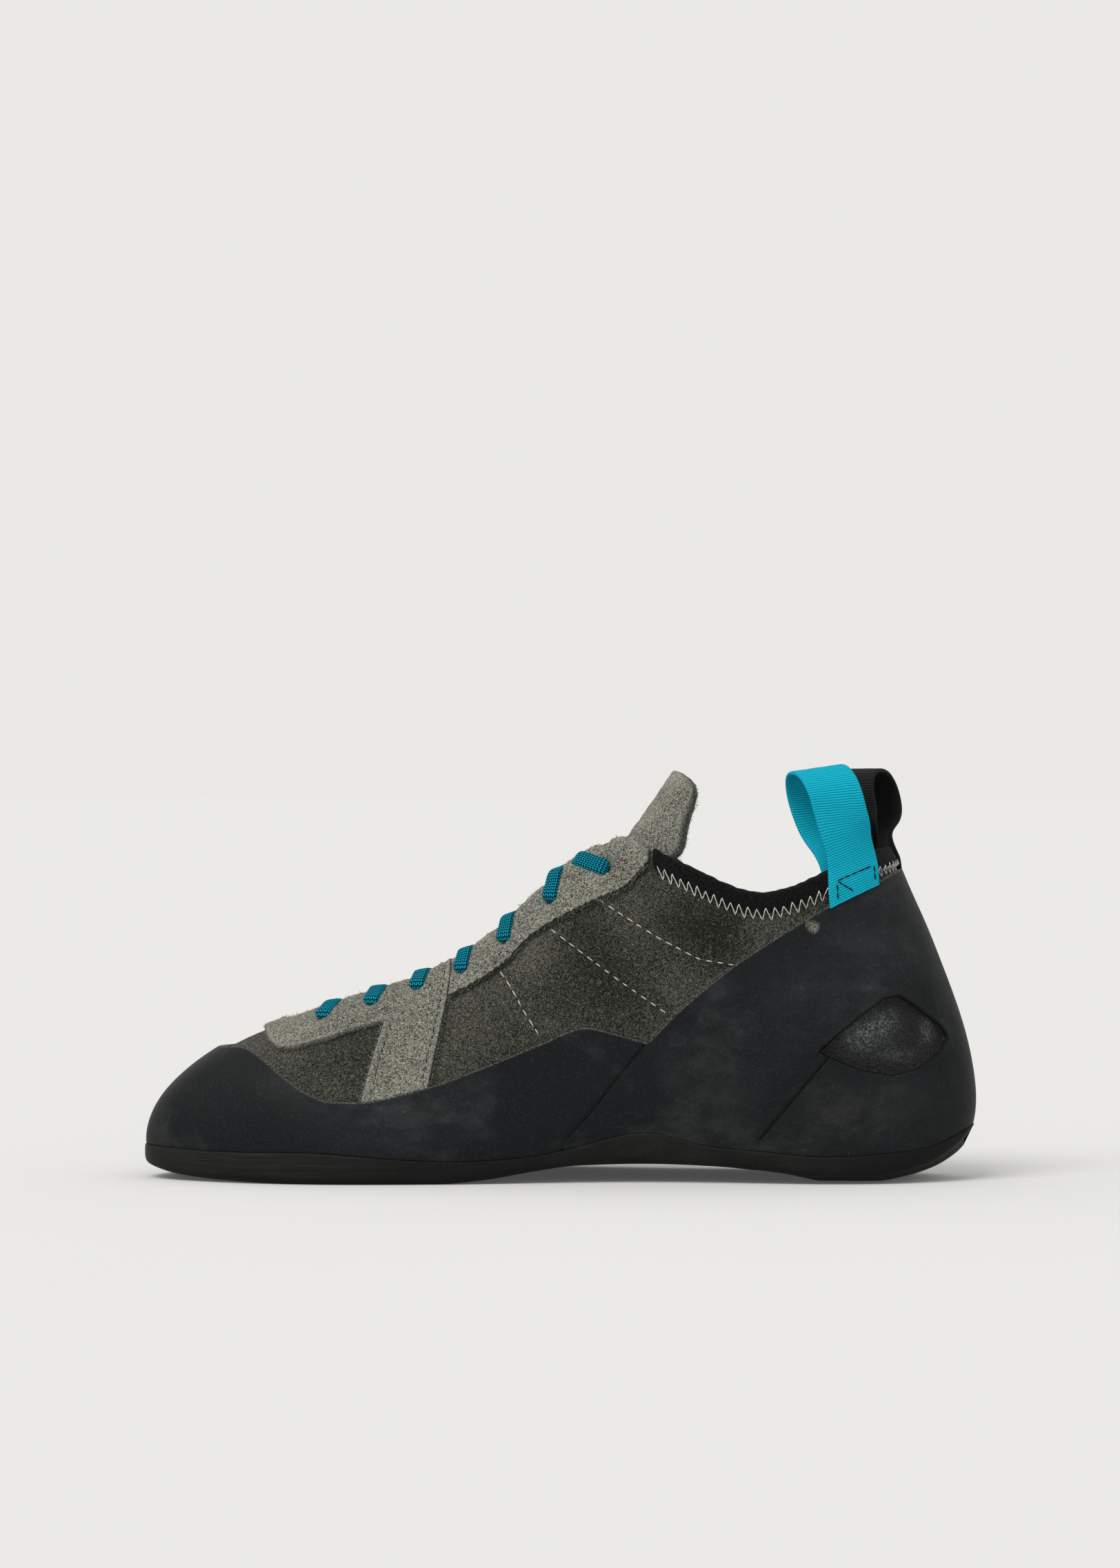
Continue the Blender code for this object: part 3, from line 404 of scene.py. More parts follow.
def climb_at(climb, run, distance):
    """Climbs at distances along each rib, by straight steps between the samples of arc_lengths."""
    place = (run[:, :, None] <= distance[:, None, :]).sum(axis=1) - 1
    place = np.clip(place, 0, run.shape[1] - 2)
    (a, b), (low, high) = [[np.take_along_axis(table, at, 1) for at in (place, place + 1)]
                           for table in (run, climb)]
    return blend(low, high, (distance - a) / np.maximum(b - a, 1e-9))


def climb_below_edge(rib, distance):
    """Climb of the place a distance down each rib from the opening, in mm."""
    rib = np.asarray(rib, float)
    climb, run = arc_lengths(rib, np.zeros_like(rib), np.ones_like(rib), SEARCH_STEPS // 3)
    return climb_at(climb, run, (run[:, -1] - distance)[:, None])[:, 0]


def spline_rows(rows, count):
    """Even steps along the natural cubic spline through rows of points, knots spaced by mean distance."""
    rows = np.asarray(rows, float)
    flat = rows.reshape(len(rows), -1)
    gap = np.linalg.norm(np.diff(rows, axis=0), axis=-1)
    gap = gap.reshape(len(rows) - 1, -1).mean(axis=1)
    knot = np.concatenate([[0], np.cumsum(gap)])
    n = len(rows)
    system = np.eye(n)
    right = np.zeros_like(flat)
    for i in range(1, n - 1):
        system[i, i - 1:i + 2] = gap[i - 1], 2 * (gap[i - 1] + gap[i]), gap[i]
        right[i] = 6 * ((flat[i + 1] - flat[i]) / gap[i] - (flat[i] - flat[i - 1]) / gap[i - 1])
    bend = np.linalg.solve(system, right)
    at = np.linspace(0, knot[-1], count)
    i = np.clip(np.searchsorted(knot, at) - 1, 0, n - 2)
    h = gap[i][:, None]
    a, b = (knot[i + 1] - at)[:, None], (at - knot[i])[:, None]
    out = (bend[i] * a ** 3 + bend[i + 1] * b ** 3) / (6 * h)
    out = out + (flat[i] / h - bend[i] * h / 6) * a + (flat[i + 1] / h - bend[i + 1] * h / 6) * b
    return out.reshape((count,) + rows.shape[1:])


def grid_faces(rows, columns, closed_rows=False, closed_columns=False):
    """Quads of a grid whose points are numbered row by row."""
    i = np.arange(rows if closed_rows else rows - 1)[:, None]
    j = np.arange(columns if closed_columns else columns - 1)[None, :]
    k, n = (i + 1) % rows, (j + 1) % columns
    return np.stack([i * columns + j, k * columns + j, k * columns + n, i * columns + n], -1).reshape(-1, 4)


def ring_caps(rows, columns):
    """The two many-sided faces that close a tube of rings, first ring and last."""
    first = np.arange(columns)
    last = (rows - 1) * columns + np.arange(columns)[::-1]
    return [first, last]


def add_piece(name, points, faces, looks, node=None, caps=(), marks=None, face_look=None):
    """Mesh piece from points in mm and quads; marks are point values that its material reads."""
    points = np.asarray(points, float).reshape(-1, 3) * MM
    corners = np.concatenate([np.asarray(faces).ravel()] + [np.asarray(cap) for cap in caps])
    sides = np.full(len(faces), np.shape(faces)[1])
    sizes = np.concatenate([sides, [len(cap) for cap in caps]]).astype(int)
    starts = np.concatenate([[0], np.cumsum(sizes)[:-1]])
    mesh = bpy.data.meshes.new(name)
    mesh.vertices.add(len(points))
    mesh.vertices.foreach_set("co", points.astype(np.float32).ravel())
    mesh.loops.add(len(corners))
    mesh.loops.foreach_set("vertex_index", corners.astype(np.int32))
    mesh.polygons.add(len(sizes))
    mesh.polygons.foreach_set("loop_start", starts.astype(np.int32))
    for look in looks:
        mesh.materials.append(look)
    if face_look is not None:
        index = np.concatenate([face_look, np.zeros(len(caps), int)])
        mesh.polygons.foreach_set("material_index", index.astype(np.int32))
    mesh.update(calc_edges=True)
    mesh.validate()
    for mark, values in (marks or {}).items():
        layer = mesh.attributes.new(mark, "FLOAT", "POINT")
        layer.data.foreach_set("value", np.asarray(values, np.float32).ravel())
    mesh.shade_smooth()
    piece = bpy.data.objects.new(name, mesh)
    bpy.context.scene.collection.objects.link(piece)
    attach(piece, "root")
    if node:
        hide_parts(*([node] if isinstance(node, str) else node))


def put(tree, kind, inputs=None, **settings):
    """New shader node. Inputs are named or numbered; a shade given for one is linked to it."""
    node = tree.nodes.new(kind)
    for key, value in settings.items():
        setattr(node, key, value)
    for key, value in (inputs or {}).items():
        if isinstance(value, Shade):
            tree.links.new(value.socket, node.inputs[key])
        else:
            node.inputs[key].default_value = value
    return node


class Shade:
    """An output of a shader node. Its methods, and arithmetic on it, add nodes to the same tree."""

    def __init__(self, tree, socket):
        self.tree = tree
        self.socket = socket

    def then(self, kind, inputs, output=0, **settings):
        """Output of a new node in the same tree."""
        return Shade(self.tree, put(self.tree, kind, inputs, **settings).outputs[output])

    def math(self, operation, other=0.0):
        """One step of arithmetic."""
        return self.then("ShaderNodeMath", {0: self, 1: other}, operation=operation)

    def __add__(self, other):
        return self.math("ADD", other)

    def __sub__(self, other):
        return self.math("SUBTRACT", other)

    def __mul__(self, other):
        return self.math("MULTIPLY", other)

    def __truediv__(self, other):
        return self.math("DIVIDE", other)

    def __pow__(self, other):
        return self.math("POWER", other)

    def span(self, low, high, start=0.0, end=1.0):
        """This value from low..high brought smoothly to start..end."""
        given = {"Value": self, "From Min": low, "From Max": high, "To Min": start, "To Max": end}
        return self.then("ShaderNodeMapRange", given, interpolation_type="SMOOTHSTEP")

    def mix(self, a, b):
        """Blend of two colours; this value is the share of the second."""
        return self.then("ShaderNodeMix", {0: self, 6: a, 7: b}, 2, data_type="RGBA")

    def noise(self, scale, detail=3.0, rough=0.55):
        """Cloudy noise at this place, with a number of clouds per metre."""
        given = {"Vector": self, "Scale": scale, "Detail": detail, "Roughness": rough}
        return self.then("ShaderNodeTexNoise", given, "Fac")

    def cells(self, scale, feature="F1"):
        """Distance from this place to the nearest of many scattered points, a number of them per metre."""
        given = {"Vector": self, "Scale": scale}
        return self.then("ShaderNodeTexVoronoi", given, "Distance", feature=feature)

    def stretched(self, *factors):
        """This place scaled along each axis, so that a pattern runs long in one direction."""
        return self.then("ShaderNodeMapping", {"Vector": self, "Scale": factors})

    def wave(self):
        """Rounded bumps, one for each whole number: the absolute sine of half turns."""
        return (self * float(np.pi)).math("SINE").math("ABSOLUTE")


# Sockets of the groups that hold a colour; Place holds a place, and the others one number
COLOURS = ("Color", "Dark", "Mid", "Light", "Rubber", "Dust", "Yarn", "Gap")


def socket_kind(name):
    """Blender's name for the kind of a group's socket."""
    if name == "Place":
        return "NodeSocketVector"
    return "NodeSocketColor" if name in COLOURS else "NodeSocketFloat"


def new_group(build, *inputs):
    """Shader group of a function, which takes the group's inputs and returns its outputs by name."""
    tree = bpy.data.node_groups.new(build.__name__, "ShaderNodeTree")
    for name in inputs:
        tree.interface.new_socket(name, in_out="INPUT", socket_type=socket_kind(name))
    source = tree.nodes.new("NodeGroupInput").outputs
    made = build(*[Shade(tree, source[name]) for name in inputs])
    for name in made:
        tree.interface.new_socket(name, in_out="OUTPUT", socket_type=socket_kind(name))
    sink = tree.nodes.new("NodeGroupOutput").inputs
    for name, shade in made.items():
        tree.links.new(shade.socket, sink[name])
    return tree


def suede_nap(place, dark, mid, light, nap, grain, contrast):
    """Napped leather: grains a fraction of a millimetre wide over broad brushed patches."""
    grains = place.noise(grain, 2.0, 0.5) * 0.72 + place.noise(grain * 0.42, 2.0, 0.5) * 0.28
    brushed = (place.noise(48.0, 3.0, 0.6) - 0.5) * 0.55 + nap * 0.3
    tone = (grains - 0.5) * contrast + brushed + 0.5
    low = tone.span(0.05, 0.5).mix(dark, mid)
    return {"Color": tone.span(0.5, 1.0).mix(low, light), "Height": grains}


def rubber_dust(place, rubber, dust, amount, haze):
    """Used rubber: chalky haze in patches, fine specks, pits and a soft unevenness."""
    streak = place.stretched(1.0, 1.0, 2.4).noise(60.0, 5.0, 0.7)
    cloud = place.noise(34.0, 5.0, 0.66).span(0.42, 0.7) * streak.span(0.35, 0.65, 0.15, 1.0)
    cloud = (cloud + haze * streak.span(0.3, 0.65, 0.4, 1.0)).math("MAXIMUM", 0.0)
    speck = place.noise(1700.0, 2.0, 0.6).span(0.52, 0.76)
    spot = place.noise(420.0, 3.0, 0.7).span(0.6, 0.78)
    pit = place.cells(170.0).span(0.03, 0.075, 1.0, 0.0)
    cover = (cloud * 0.42 + speck * 0.26 + spot * cloud * 0.6) * amount
    earth = place.noise(17.0, 2.0, 0.5).span(0.5, 0.75)
    shaded = cover.mix(rubber, earth.mix(dust, (0.066, 0.068, 0.063, 1)))
    bumps = place.noise(1300.0, 3.0, 0.6) * 0.22 + place.noise(150.0, 3.0, 0.5) * 0.5
    return {"Color": (pit * 0.6).mix(shaded, (0.006, 0.006, 0.007, 1)),
            "Roughness": cloud.span(0.0, 1.0, 0.5, 0.72), "Height": bumps - pit * 0.5}


def spun_yarn(place, yarn, gap, weave):
    """Yarn: painted shade between the threads where the weave is low, with a faint streak of darker fibres.
    """
    streak = place.noise(3200.0, 2.0, 0.6)
    lit = streak.span(0.35, 0.75, 0.0, 0.3).mix(yarn, gap)
    return {"Color": weave.span(0.12, 0.72).mix(gap, lit), "Height": weave + streak * 0.3}


def webbing(run, across, pitch):
    """Cross ribs parted into short yarns, staggered from rib to rib; places in mm along and across."""
    row = (run + (across * 1.3).math("SINE") * 0.05) / pitch
    yarn = (across / 0.95 + row.math("FLOOR") * 0.5).wave()
    return {"Weave": row.wave() ** 0.75 * yarn.span(0.0, 0.7, 0.65, 1.0)}


def braid(run, across):
    """Columns of short slanted yarns that lean left and right in turn; places in mm along and round."""
    column = across / 0.72
    row = run / 0.95 + column.math("PINGPONG", 1.0) * 0.55
    bead = (column.math("FRACT") * float(np.pi)).math("SINE") ** 1.1
    return {"Weave": row.wave() ** 1.25 * bead}


SUEDE = new_group(suede_nap, "Place", "Dark", "Mid", "Light", "Nap", "Grain", "Contrast")
RUBBER = new_group(rubber_dust, "Place", "Rubber", "Dust", "Amount", "Haze")
YARN = new_group(spun_yarn, "Place", "Yarn", "Gap", "Weave")
WEB = new_group(webbing, "Run", "Across", "Pitch")
BRAID = new_group(braid, "Run", "Across")


def new_look(name, roughness, sheen, specular, **more):
    """Material with one Principled shader: the material and the object's own coordinates."""
    look = bpy.data.materials.new(name)
    look.use_nodes = True
    tree = look.node_tree
    fixed = {"Roughness": roughness, "Sheen Weight": sheen, "Specular IOR Level": specular,
             "Sheen Roughness": 0.6, **more}
    for socket, value in fixed.items():
        tree.nodes["Principled BSDF"].inputs[socket].default_value = value
    return look, Shade(tree, tree.nodes.new("ShaderNodeTexCoord").outputs["Object"])


# Depth of the bump in metres, for looks that have none of their own
BUMP_DEEP = 0.0004


def finish_look(look, colour, height, depth=BUMP_DEEP, **more):
    """Colour, bump and other shades into a material's shader; depth is the bump's, in metres."""
    tree = look.node_tree
    bump = put(tree, "ShaderNodeBump", {"Height": height, "Distance": depth, "Strength": 1.0})
    for socket, shade in {"Base Color": colour, "Normal": Shade(tree, bump.outputs[0]), **more}.items():
        tree.links.new(shade.socket, tree.nodes["Principled BSDF"].inputs[socket])
    return look


def use_group(look, group, **inputs):
    """Place a shared group in a material: its outputs by name."""
    node = put(look.node_tree, "ShaderNodeGroup", inputs, node_tree=group)
    return {socket.name: Shade(look.node_tree, socket) for socket in node.outputs}


def mark(look, name):
    """Point value of the piece, by its name."""
    node = put(look.node_tree, "ShaderNodeAttribute", attribute_name=name)
    return Shade(look.node_tree, node.outputs["Fac"])


def dark_suede_look():
    """Olive-grey suede of the upper, brushed lighter and darker in patches."""
    look, place = new_look("dark_suede", 0.95, 0.06, 0.04)
    made = use_group(look, SUEDE, Place=place, Dark=(0.006, 0.006, 0.0048, 1),
                     Mid=(0.038, 0.0385, 0.0315, 1), Light=(0.125, 0.125, 0.104, 1),
                     Nap=mark(look, "nap"), Grain=3000.0, Contrast=3.9)
    return finish_look(look, made["Color"], made["Height"])


def pale_suede_look():
    """Warm grey suede of eyestay, strap and tongue: fuzzy edges, painted shade at cut edges and lace holes.
    """
    look, place = new_look("pale_suede", 0.95, 0.06, 0.04)
    made = use_group(look, SUEDE, Place=place, Dark=(0.02, 0.02, 0.0165, 1), Mid=(0.145, 0.147, 0.123, 1),
                     Light=(0.34, 0.342, 0.295, 1), Nap=0.0, Grain=2900.0, Contrast=4.1)
    tuft = place.noise(1500.0, 3.0, 0.65)
    worn = mark(look, "edge").span(0.3, 2.4, 1.0, 0.0) * tuft.span(0.38, 0.62)
    colour = (worn * 0.5).mix(made["Color"], (0.3, 0.296, 0.268, 1))
    # Painted shade along the cut edges, broken up by the tufts
    cut = mark(look, "cut") * tuft.span(0.72, 0.52)
    colour = (cut * 0.95).mix(colour, (0.01, 0.01, 0.009, 1))
    # Painted shade in the lace holes
    colour = mark(look, "hole").mix(colour, (0.006, 0.006, 0.006, 1))
    return finish_look(look, colour, made["Height"])


# Refraction of the rubber, low because its surface is dull
RUBBER_IOR = 1.25


def window_leather(look, place):
    """Pebbled black leather with painted highlights and glints on its pebble crests: colour and height."""
    grain = place.cells(1900.0, "SMOOTH_F1")
    painted_highlight = mark(look, "shine") * place.noise(700.0, 2.0, 0.5).span(0.35, 0.65, 0.4, 1.0)
    # Pale glints painted on the pebble crests inside the painted highlights
    crest = grain.span(0.55, 0.15) * painted_highlight
    leather = grain.span(0.2, 0.65).mix((0.009, 0.0105, 0.0125, 1), (0.002, 0.002, 0.0024, 1))
    # Painted highlight: the leather paler where the shine mark is high
    leather = (painted_highlight * 0.55).mix(leather, (0.05, 0.055, 0.06, 1))
    leather = (crest * 0.5).mix(leather, (0.26, 0.275, 0.29, 1))
    return leather, grain * -2.2 + place.noise(2200.0, 2.0, 0.6) * 0.5


def rubber_look():
    """Charcoal rand rubber, dusty, with lint at its edge and a glossy leather window in the heel."""
    look, place = new_look("rand_rubber", 0.6, 0.0, 0.3, IOR=RUBBER_IOR, **{"Coat Roughness": 0.28})
    made = use_group(look, RUBBER, Place=place, Rubber=(0.0068, 0.0079, 0.0091, 1),
                     Dust=(0.074, 0.083, 0.088, 1), Amount=0.7, Haze=mark(look, "haze"))
    lint = mark(look, "edge").span(0.1, 1.0, 1.0, 0.0) * place.noise(2300.0, 3.0, 0.75).span(0.44, 0.62)
    colour = (lint * 0.75).mix(made["Color"], (0.2, 0.2, 0.188, 1))
    # Painted shade down in the heel's slit
    slit_shade = mark(look, "slit").span(0.1, 0.55, 1.0, 0.0)
    colour = (slit_shade * 0.9).mix(colour, (0.002, 0.002, 0.002, 1))
    window = mark(look, "window")
    inside = window.span(-0.1, 0.2)
    # Painted shade round the window's rim, where the sunk leather meets the rubber
    rim = window.math("ABSOLUTE").span(0.1, 0.5, 0.75, 0.0)
    leather, pebble = window_leather(look, place)
    colour = rim.mix(inside.mix(colour, leather), (0.0015, 0.0015, 0.0015, 1))
    chip = place.noise(1300.0, 3.0, 0.6).span(0.35, 0.65)
    bare = chip.mix((0.05, 0.05, 0.042, 1), (0.2, 0.2, 0.172, 1))
    colour = mark(look, "hole").mix(colour, bare)
    outside = inside.span(0.0, 1.0, 1.0, 0.0)
    height = made["Height"] * outside + pebble * inside
    rough = made["Roughness"] * outside + inside * 0.3
    return finish_look(look, colour, height, **{"Roughness": rough, "Coat Weight": inside * 0.2})


def sole_look():
    """Sole rubber: sanded brownish side with fine scratches along it, darker where it turns under."""
    look, place = new_look("sole_rubber", 0.75, 0.0, 0.3, IOR=RUBBER_IOR)
    made = use_group(look, RUBBER, Place=place, Rubber=(0.0045, 0.0047, 0.005, 1),
                     Dust=(0.05, 0.049, 0.046, 1), Amount=0.35, Haze=0.0)
    side = mark(look, "sanded")
    scratch = place.stretched(0.06, 0.06, 1.0).noise(900.0, 3.0, 0.7)
    sanded = side * scratch.span(0.3, 0.75, 0.3, 1.0)
    colour = (sanded * 0.75).mix(made["Color"], (0.019, 0.0182, 0.0155, 1))
    return finish_look(look, colour, made["Height"] + scratch * side, 0.0003, Roughness=made["Roughness"])


def binding_look():
    """Black brushed tape with a few pale hairs."""
    look, place = new_look("black_binding", 0.95, 0.04, 0.04)
    hair = place.noise(1500.0, 2.0, 0.5).span(0.3, 0.8)
    lint = place.noise(620.0, 4.0, 0.75).span(0.68, 0.78)
    colour = hair.mix((0.002, 0.002, 0.0022, 1), (0.009, 0.009, 0.0095, 1))
    return finish_look(look, (lint * 0.2).mix(colour, (0.12, 0.12, 0.115, 1)), hair)


def yarn_look(name, yarn, gap, pitch=None, roughness=0.85, specular=0.04):
    """Webbing with ribs of a pitch, or a braid where there is none; painted shade between its yarns."""
    look, place = new_look(name, roughness, 0.0, specular)
    given = {"Run": mark(look, "run"), "Across": mark(look, "across")}
    if pitch:
        given["Pitch"] = pitch
    weave = use_group(look, WEB if pitch else BRAID, **given)["Weave"]
    made = use_group(look, YARN, Place=place, Yarn=yarn, Gap=gap, Weave=weave)
    return finish_look(look, made["Color"], made["Height"], 0.00022)


def thread_look(name, colour, shade):
    """Sewing thread, streaked along its fibres."""
    look, place = new_look(name, 0.8, 0.0, 0.1)
    streak = place.noise(4200.0, 2.0, 0.5)
    return finish_look(look, streak.span(0.3, 0.7).mix(shade, colour), streak, 0.0001)


def lining_look():
    """Grey inner lining, a fine knitted cloth."""
    look, place = new_look("lining", 0.95, 0.2, 0.2)
    knit = place.cells(1400.0)
    colour = knit.span(0.2, 0.7).mix((0.06, 0.06, 0.058, 1), (0.02, 0.02, 0.02, 1))
    return finish_look(look, colour, knit)


def footbed_look():
    """Worn footbed leather."""
    look, place = new_look("footbed", 0.85, 0.1, 0.3)
    fine = place.noise(1600.0, 3.0, 0.6)
    colour = place.noise(60.0, 4.0, 0.6).span(0.35, 0.7).mix((0.1, 0.094, 0.085, 1), (0.19, 0.18, 0.165, 1))
    colour = fine.span(0.5, 0.75, 0.0, 0.5).mix(colour, (0.06, 0.056, 0.05, 1))
    return finish_look(look, colour, fine)


DARK_SUEDE = dark_suede_look()
PALE_SUEDE = pale_suede_look()
RAND_RUBBER = rubber_look()
SOLE_RUBBER = sole_look()
BLACK_BINDING = binding_look()
# Each gives its yarn colour, then a darker one for the painted shade between the yarns
BLUE_WEB = yarn_look("blue_web", (0.008, 0.45, 0.62, 1), (0.003, 0.16, 0.24, 1), LOOP_PITCH)
BLACK_WEB = yarn_look("black_web", (0.017, 0.0172, 0.0178, 1), (0.002, 0.002, 0.002, 1), LOOP_PITCH,
                      0.6, 0.06)
TEAL_LACE = yarn_look("teal_lace", (0.007, 0.35, 0.5, 1), (0.001, 0.012, 0.02, 1))
WHITE_THREAD = thread_look("white_thread", (0.72, 0.7, 0.65, 1), (0.42, 0.41, 0.38, 1))
DARK_THREAD = thread_look("dark_thread", (0.012, 0.012, 0.013, 1), (0.004, 0.004, 0.004, 1))
GREY_THREAD = thread_look("grey_thread", (0.075, 0.073, 0.066, 1), (0.03, 0.03, 0.027, 1))
PALE_FIBRE = thread_look("pale_fibre", (0.34, 0.335, 0.31, 1), (0.2, 0.198, 0.18, 1))
LINING = lining_look()
FOOTBED = footbed_look()


# Cut edge of a sheet: millimetres in from the edge, and the share of the full height there. On a
# narrow band it takes up no more than EDGE_MOST of the width.
EDGE_PROFILE = np.array([(0.0, 0.0), (0.0, 0.5), (0.07, 0.8), (0.22, 0.95), (0.55, 1.0)])
EDGE_MOST = 0.4
BAND_SAMPLES = 90

# Distance of a sheet's inner face from the last, and one that counts as far from any mark, in mm
SKIN_GAP = 0.05
FAR = 9.0


def band(ribs, low, high, count, inner):
    """Rings of a closed band on the last, between two climbs on each rib.

    A ring runs up the outer face in even steps, with a rounded cut edge below and above, and back down
    against the skin in a few more. The result is the climb of every ring point, its share of the full
    height, and its distance to the lower and the upper edge.
    """
    climb, run = arc_lengths(ribs, low, high, BAND_SAMPLES)
    length = run[:, -1:]
    inset = np.minimum(EDGE_PROFILE[None, :, 0], EDGE_MOST * length)
    middle = np.linspace(0, 1, count + 2)[None, 1:-1]
    between = blend(inset[:, -1:], length - inset[:, -1:], middle)
    back = length * np.linspace(1, 0, inner + 2)[None, 1:-1]
    away = np.concatenate([inset, between, length - inset[:, ::-1], back], axis=1)
    edge = EDGE_PROFILE[:, 1]
    share = np.concatenate([edge, np.ones(count), edge[::-1], np.zeros(inner)])
    return climb_at(climb, run, away), share[None, :] + 0 * away, away, length - away


def add_rings(name, points, look, slot, node=None, **marks):
    """Piece from rings of points, closed round each ring and capped at both ends."""
    rows, columns = points.shape[:2]
    add_piece(name, points, grid_faces(rows, columns, closed_columns=True), [look], node,
              ring_caps(rows, columns), marks)


def grid_normal(points):
    """Unit normals of a grid of points: the cross product of its two directions."""
    return unit(np.cross(np.gradient(points, axis=0), np.gradient(points, axis=1)))


def both_faces(front, back=None):
    """Rings of a sheet from its grid: across on the front and back on the other face, or on the same."""
    back = front if back is None else back
    return np.concatenate([front, back[:, -2:0:-1]], axis=1)


def sheet_rings(points, thick, weave=0.0):
    """Rings of a sheet about a grid of points, and the distance of each point to the long edges.

    Half the thickness falls as a quarter circle towards the two long edges. Weave adds to the
    thickness, point by point.
    """
    width = run_along(points, axis=1)
    near = np.minimum(width, width[:, -1:] - width)
    bow = np.clip(near / (thick / 2), 0, 1)
    half = ((thick / 2 + weave) * np.sqrt(1 - (1 - bow) ** 2))[..., None] * grid_normal(points)
    return both_faces(points + half, points - half), near


def polygon_inside(x, z, outline):
    """Distance to a closed outline, above zero inside it: least distance to a side, sign by crossings."""
    outline = np.array(outline, float)
    away = np.full(x.shape, np.inf)
    inside = np.zeros(x.shape, bool)
    for a, b in zip(outline, np.roll(outline, -1, 0)):
        away = np.minimum(away, to_segment(x, z, a, b)[0])
        between = (a[1] > z) != (b[1] > z)
        meet = a[0] + (z - a[1]) * (b[0] - a[0]) / np.where(b[1] == a[1], 1e-9, b[1] - a[1])
        inside ^= between & (x < meet)
    return np.where(inside, away, -away)


def patches(points, table):
    """Lighter and darker places: a sum of bells round the centres of a table of patches."""
    x, z = along_line(points), points[..., 2]
    return sum(amount * np.exp(-((x - px) ** 2 + (z - pz) ** 2) / radius ** 2)
               for (px, pz), radius, amount in table)


# Upper: points round it, up its outside and down its lining, and heights over the rim in mm
UPPER_ROUND = 448
UPPER_UP = 72
UPPER_DOWN = 26
UPPER_RIM = [-0.5, -1.3]


def build_upper():
    """Hollow boot: the whole last, up on the outside, over the rim and down on the lining."""
    ribs = np.arange(UPPER_ROUND) / UPPER_ROUND * RIB_COUNT
    climb = np.concatenate([np.linspace(0, 1, UPPER_UP), [1, 1], np.linspace(1, 0, UPPER_DOWN)])
    height = np.concatenate([np.zeros(UPPER_UP), UPPER_RIM, np.full(UPPER_DOWN, -UPPER_WALL)])
    points = skin(ribs[:, None], climb[None, :], height[None, :])
    faces = grid_faces(UPPER_ROUND, len(climb), closed_rows=True, closed_columns=True)
    lined = np.tile(np.arange(len(climb)) > UPPER_UP, UPPER_ROUND)
    add_piece("upper_suede", points, faces, [DARK_SUEDE, LINING], "upper",
              marks={"nap": patches(points, NAP_PATCHES)}, face_look=lined)


def sole_height(points, across, rounding=HEEL_ROUND):
    """Height of the underside: inner and outer heights blended across, and a heel rounded to its sides."""
    along, inner, outer = np.array(SOLE_BOTTOM).T
    along = TOE_X + along * LAST_LENGTH / 100
    x = points[..., 0]
    inner = smooth_line(np.column_stack([along, inner]))(x)
    outer = smooth_line(np.column_stack([along, outer]))(x)
    lift = rounding * np.clip((x - HEEL_ROUND_FROM) / (HEEL_ROUND_FULL - HEEL_ROUND_FROM), 0, 1)
    side = np.clip((np.abs(across) - HEEL_FLAT) / (1 - HEEL_FLAT), 0, 1)
    return blend(inner, outer, (across + 1) / 2) + lift * side ** 2


# The sole's upper edge, tucked in under the rubber bands in mm, and the ribs left out at its two ends
SOLE_TUCK = 0.55
SOLE_END = 0.012
# Side of the sole from the floor up: share of its height, and how far it stands out in mm
SOLE_SIDE = [(0.0, -3.2), (0.04, -1.6), (0.12, -0.55), (0.26, -0.15), (0.5, 0.05), (0.8, 0.0),
             (0.94, -0.1), (1.0, -SOLE_TUCK)]
# Shares of that height where its points lie, from the top down, and places along the shoe in mm between
# which the sanded look of the side comes in
SOLE_LEVELS = np.array([0.97, 0.93, 0.88, 0.764, 0.648, 0.532, 0.416, 0.3, 0.22, 0.15, 0.09, 0.045, 0.015])
SANDED = (-38.0, -72.0)


def sole_top(inner, across):
    """Upper face of the sole: lines from the inner to the outer edge that dip to a tray between them."""
    across = np.broadcast_to(across, (len(inner), across.shape[-1]))
    a, b = [on_last(rib, 0 * rib) + (SOLE_LIP - SOLE_TUCK) * outward(rib)
            for rib in (inner, RIB_COUNT - inner)]
    points = blend(a[:, None], b[:, None], (across[..., None] + 1) / 2)
    edge = points[..., 2]
    middle = np.minimum(sole_height(points, across, 0.0) + SOLE_THICK, edge)
    points[..., 2] = blend(middle, edge, np.abs(across) ** 4)
    return points


def sole_side(rib, place, share):
    """Side of the sole at shares of its height; place is -1 on the inner side and 1 on the outer."""
    out = SOLE_LIP + smooth_line(SOLE_SIDE)(share)
    edge = on_last(rib, 0 * rib)[:, None] + out[None, :, None] * outward(rib)[:, None]
    edge[..., 2] = blend(sole_height(edge, place), edge[..., 2], share[None, :])
    return edge


def build_outsole():
    """Sole as rings from toe to heel: tray, rounded outer side, underside, rounded inner side."""
    inner = np.linspace(SOLE_END, HEEL_AT - SOLE_END, 340)
    outer = RIB_COUNT - inner
    across = np.linspace(-1, 1, 19)
    back = across[None, ::-1]
    bottom = blend(sole_side(inner, -1.0, np.zeros(1)), sole_side(outer, 1.0, np.zeros(1)),
                   (back[..., None] + 1) / 2)
    bottom[..., 2] = sole_height(bottom, back)
    points = np.concatenate([sole_top(inner, across), sole_side(outer, 1.0, SOLE_LEVELS), bottom,
                             sole_side(inner, -1.0, SOLE_LEVELS[::-1])], axis=1)
    wall = np.clip((SOLE_LEVELS - 0.1) / 0.15, 0, 1)
    sanded = np.concatenate([0 * across, wall, 0 * across, wall[::-1]])[None, :]
    sanded = sanded * (0.2 + 0.8 * smoothstep(points[..., 0], *SANDED))
    add_rings("sole_rubber", points, SOLE_RUBBER, "rubber", "outsole", sanded=sanded)


# Insole: ribs left out at its two ends, and its half width as a share of the sole's
INSOLE_END = 2 / 3
INSOLE_HALF = 0.82


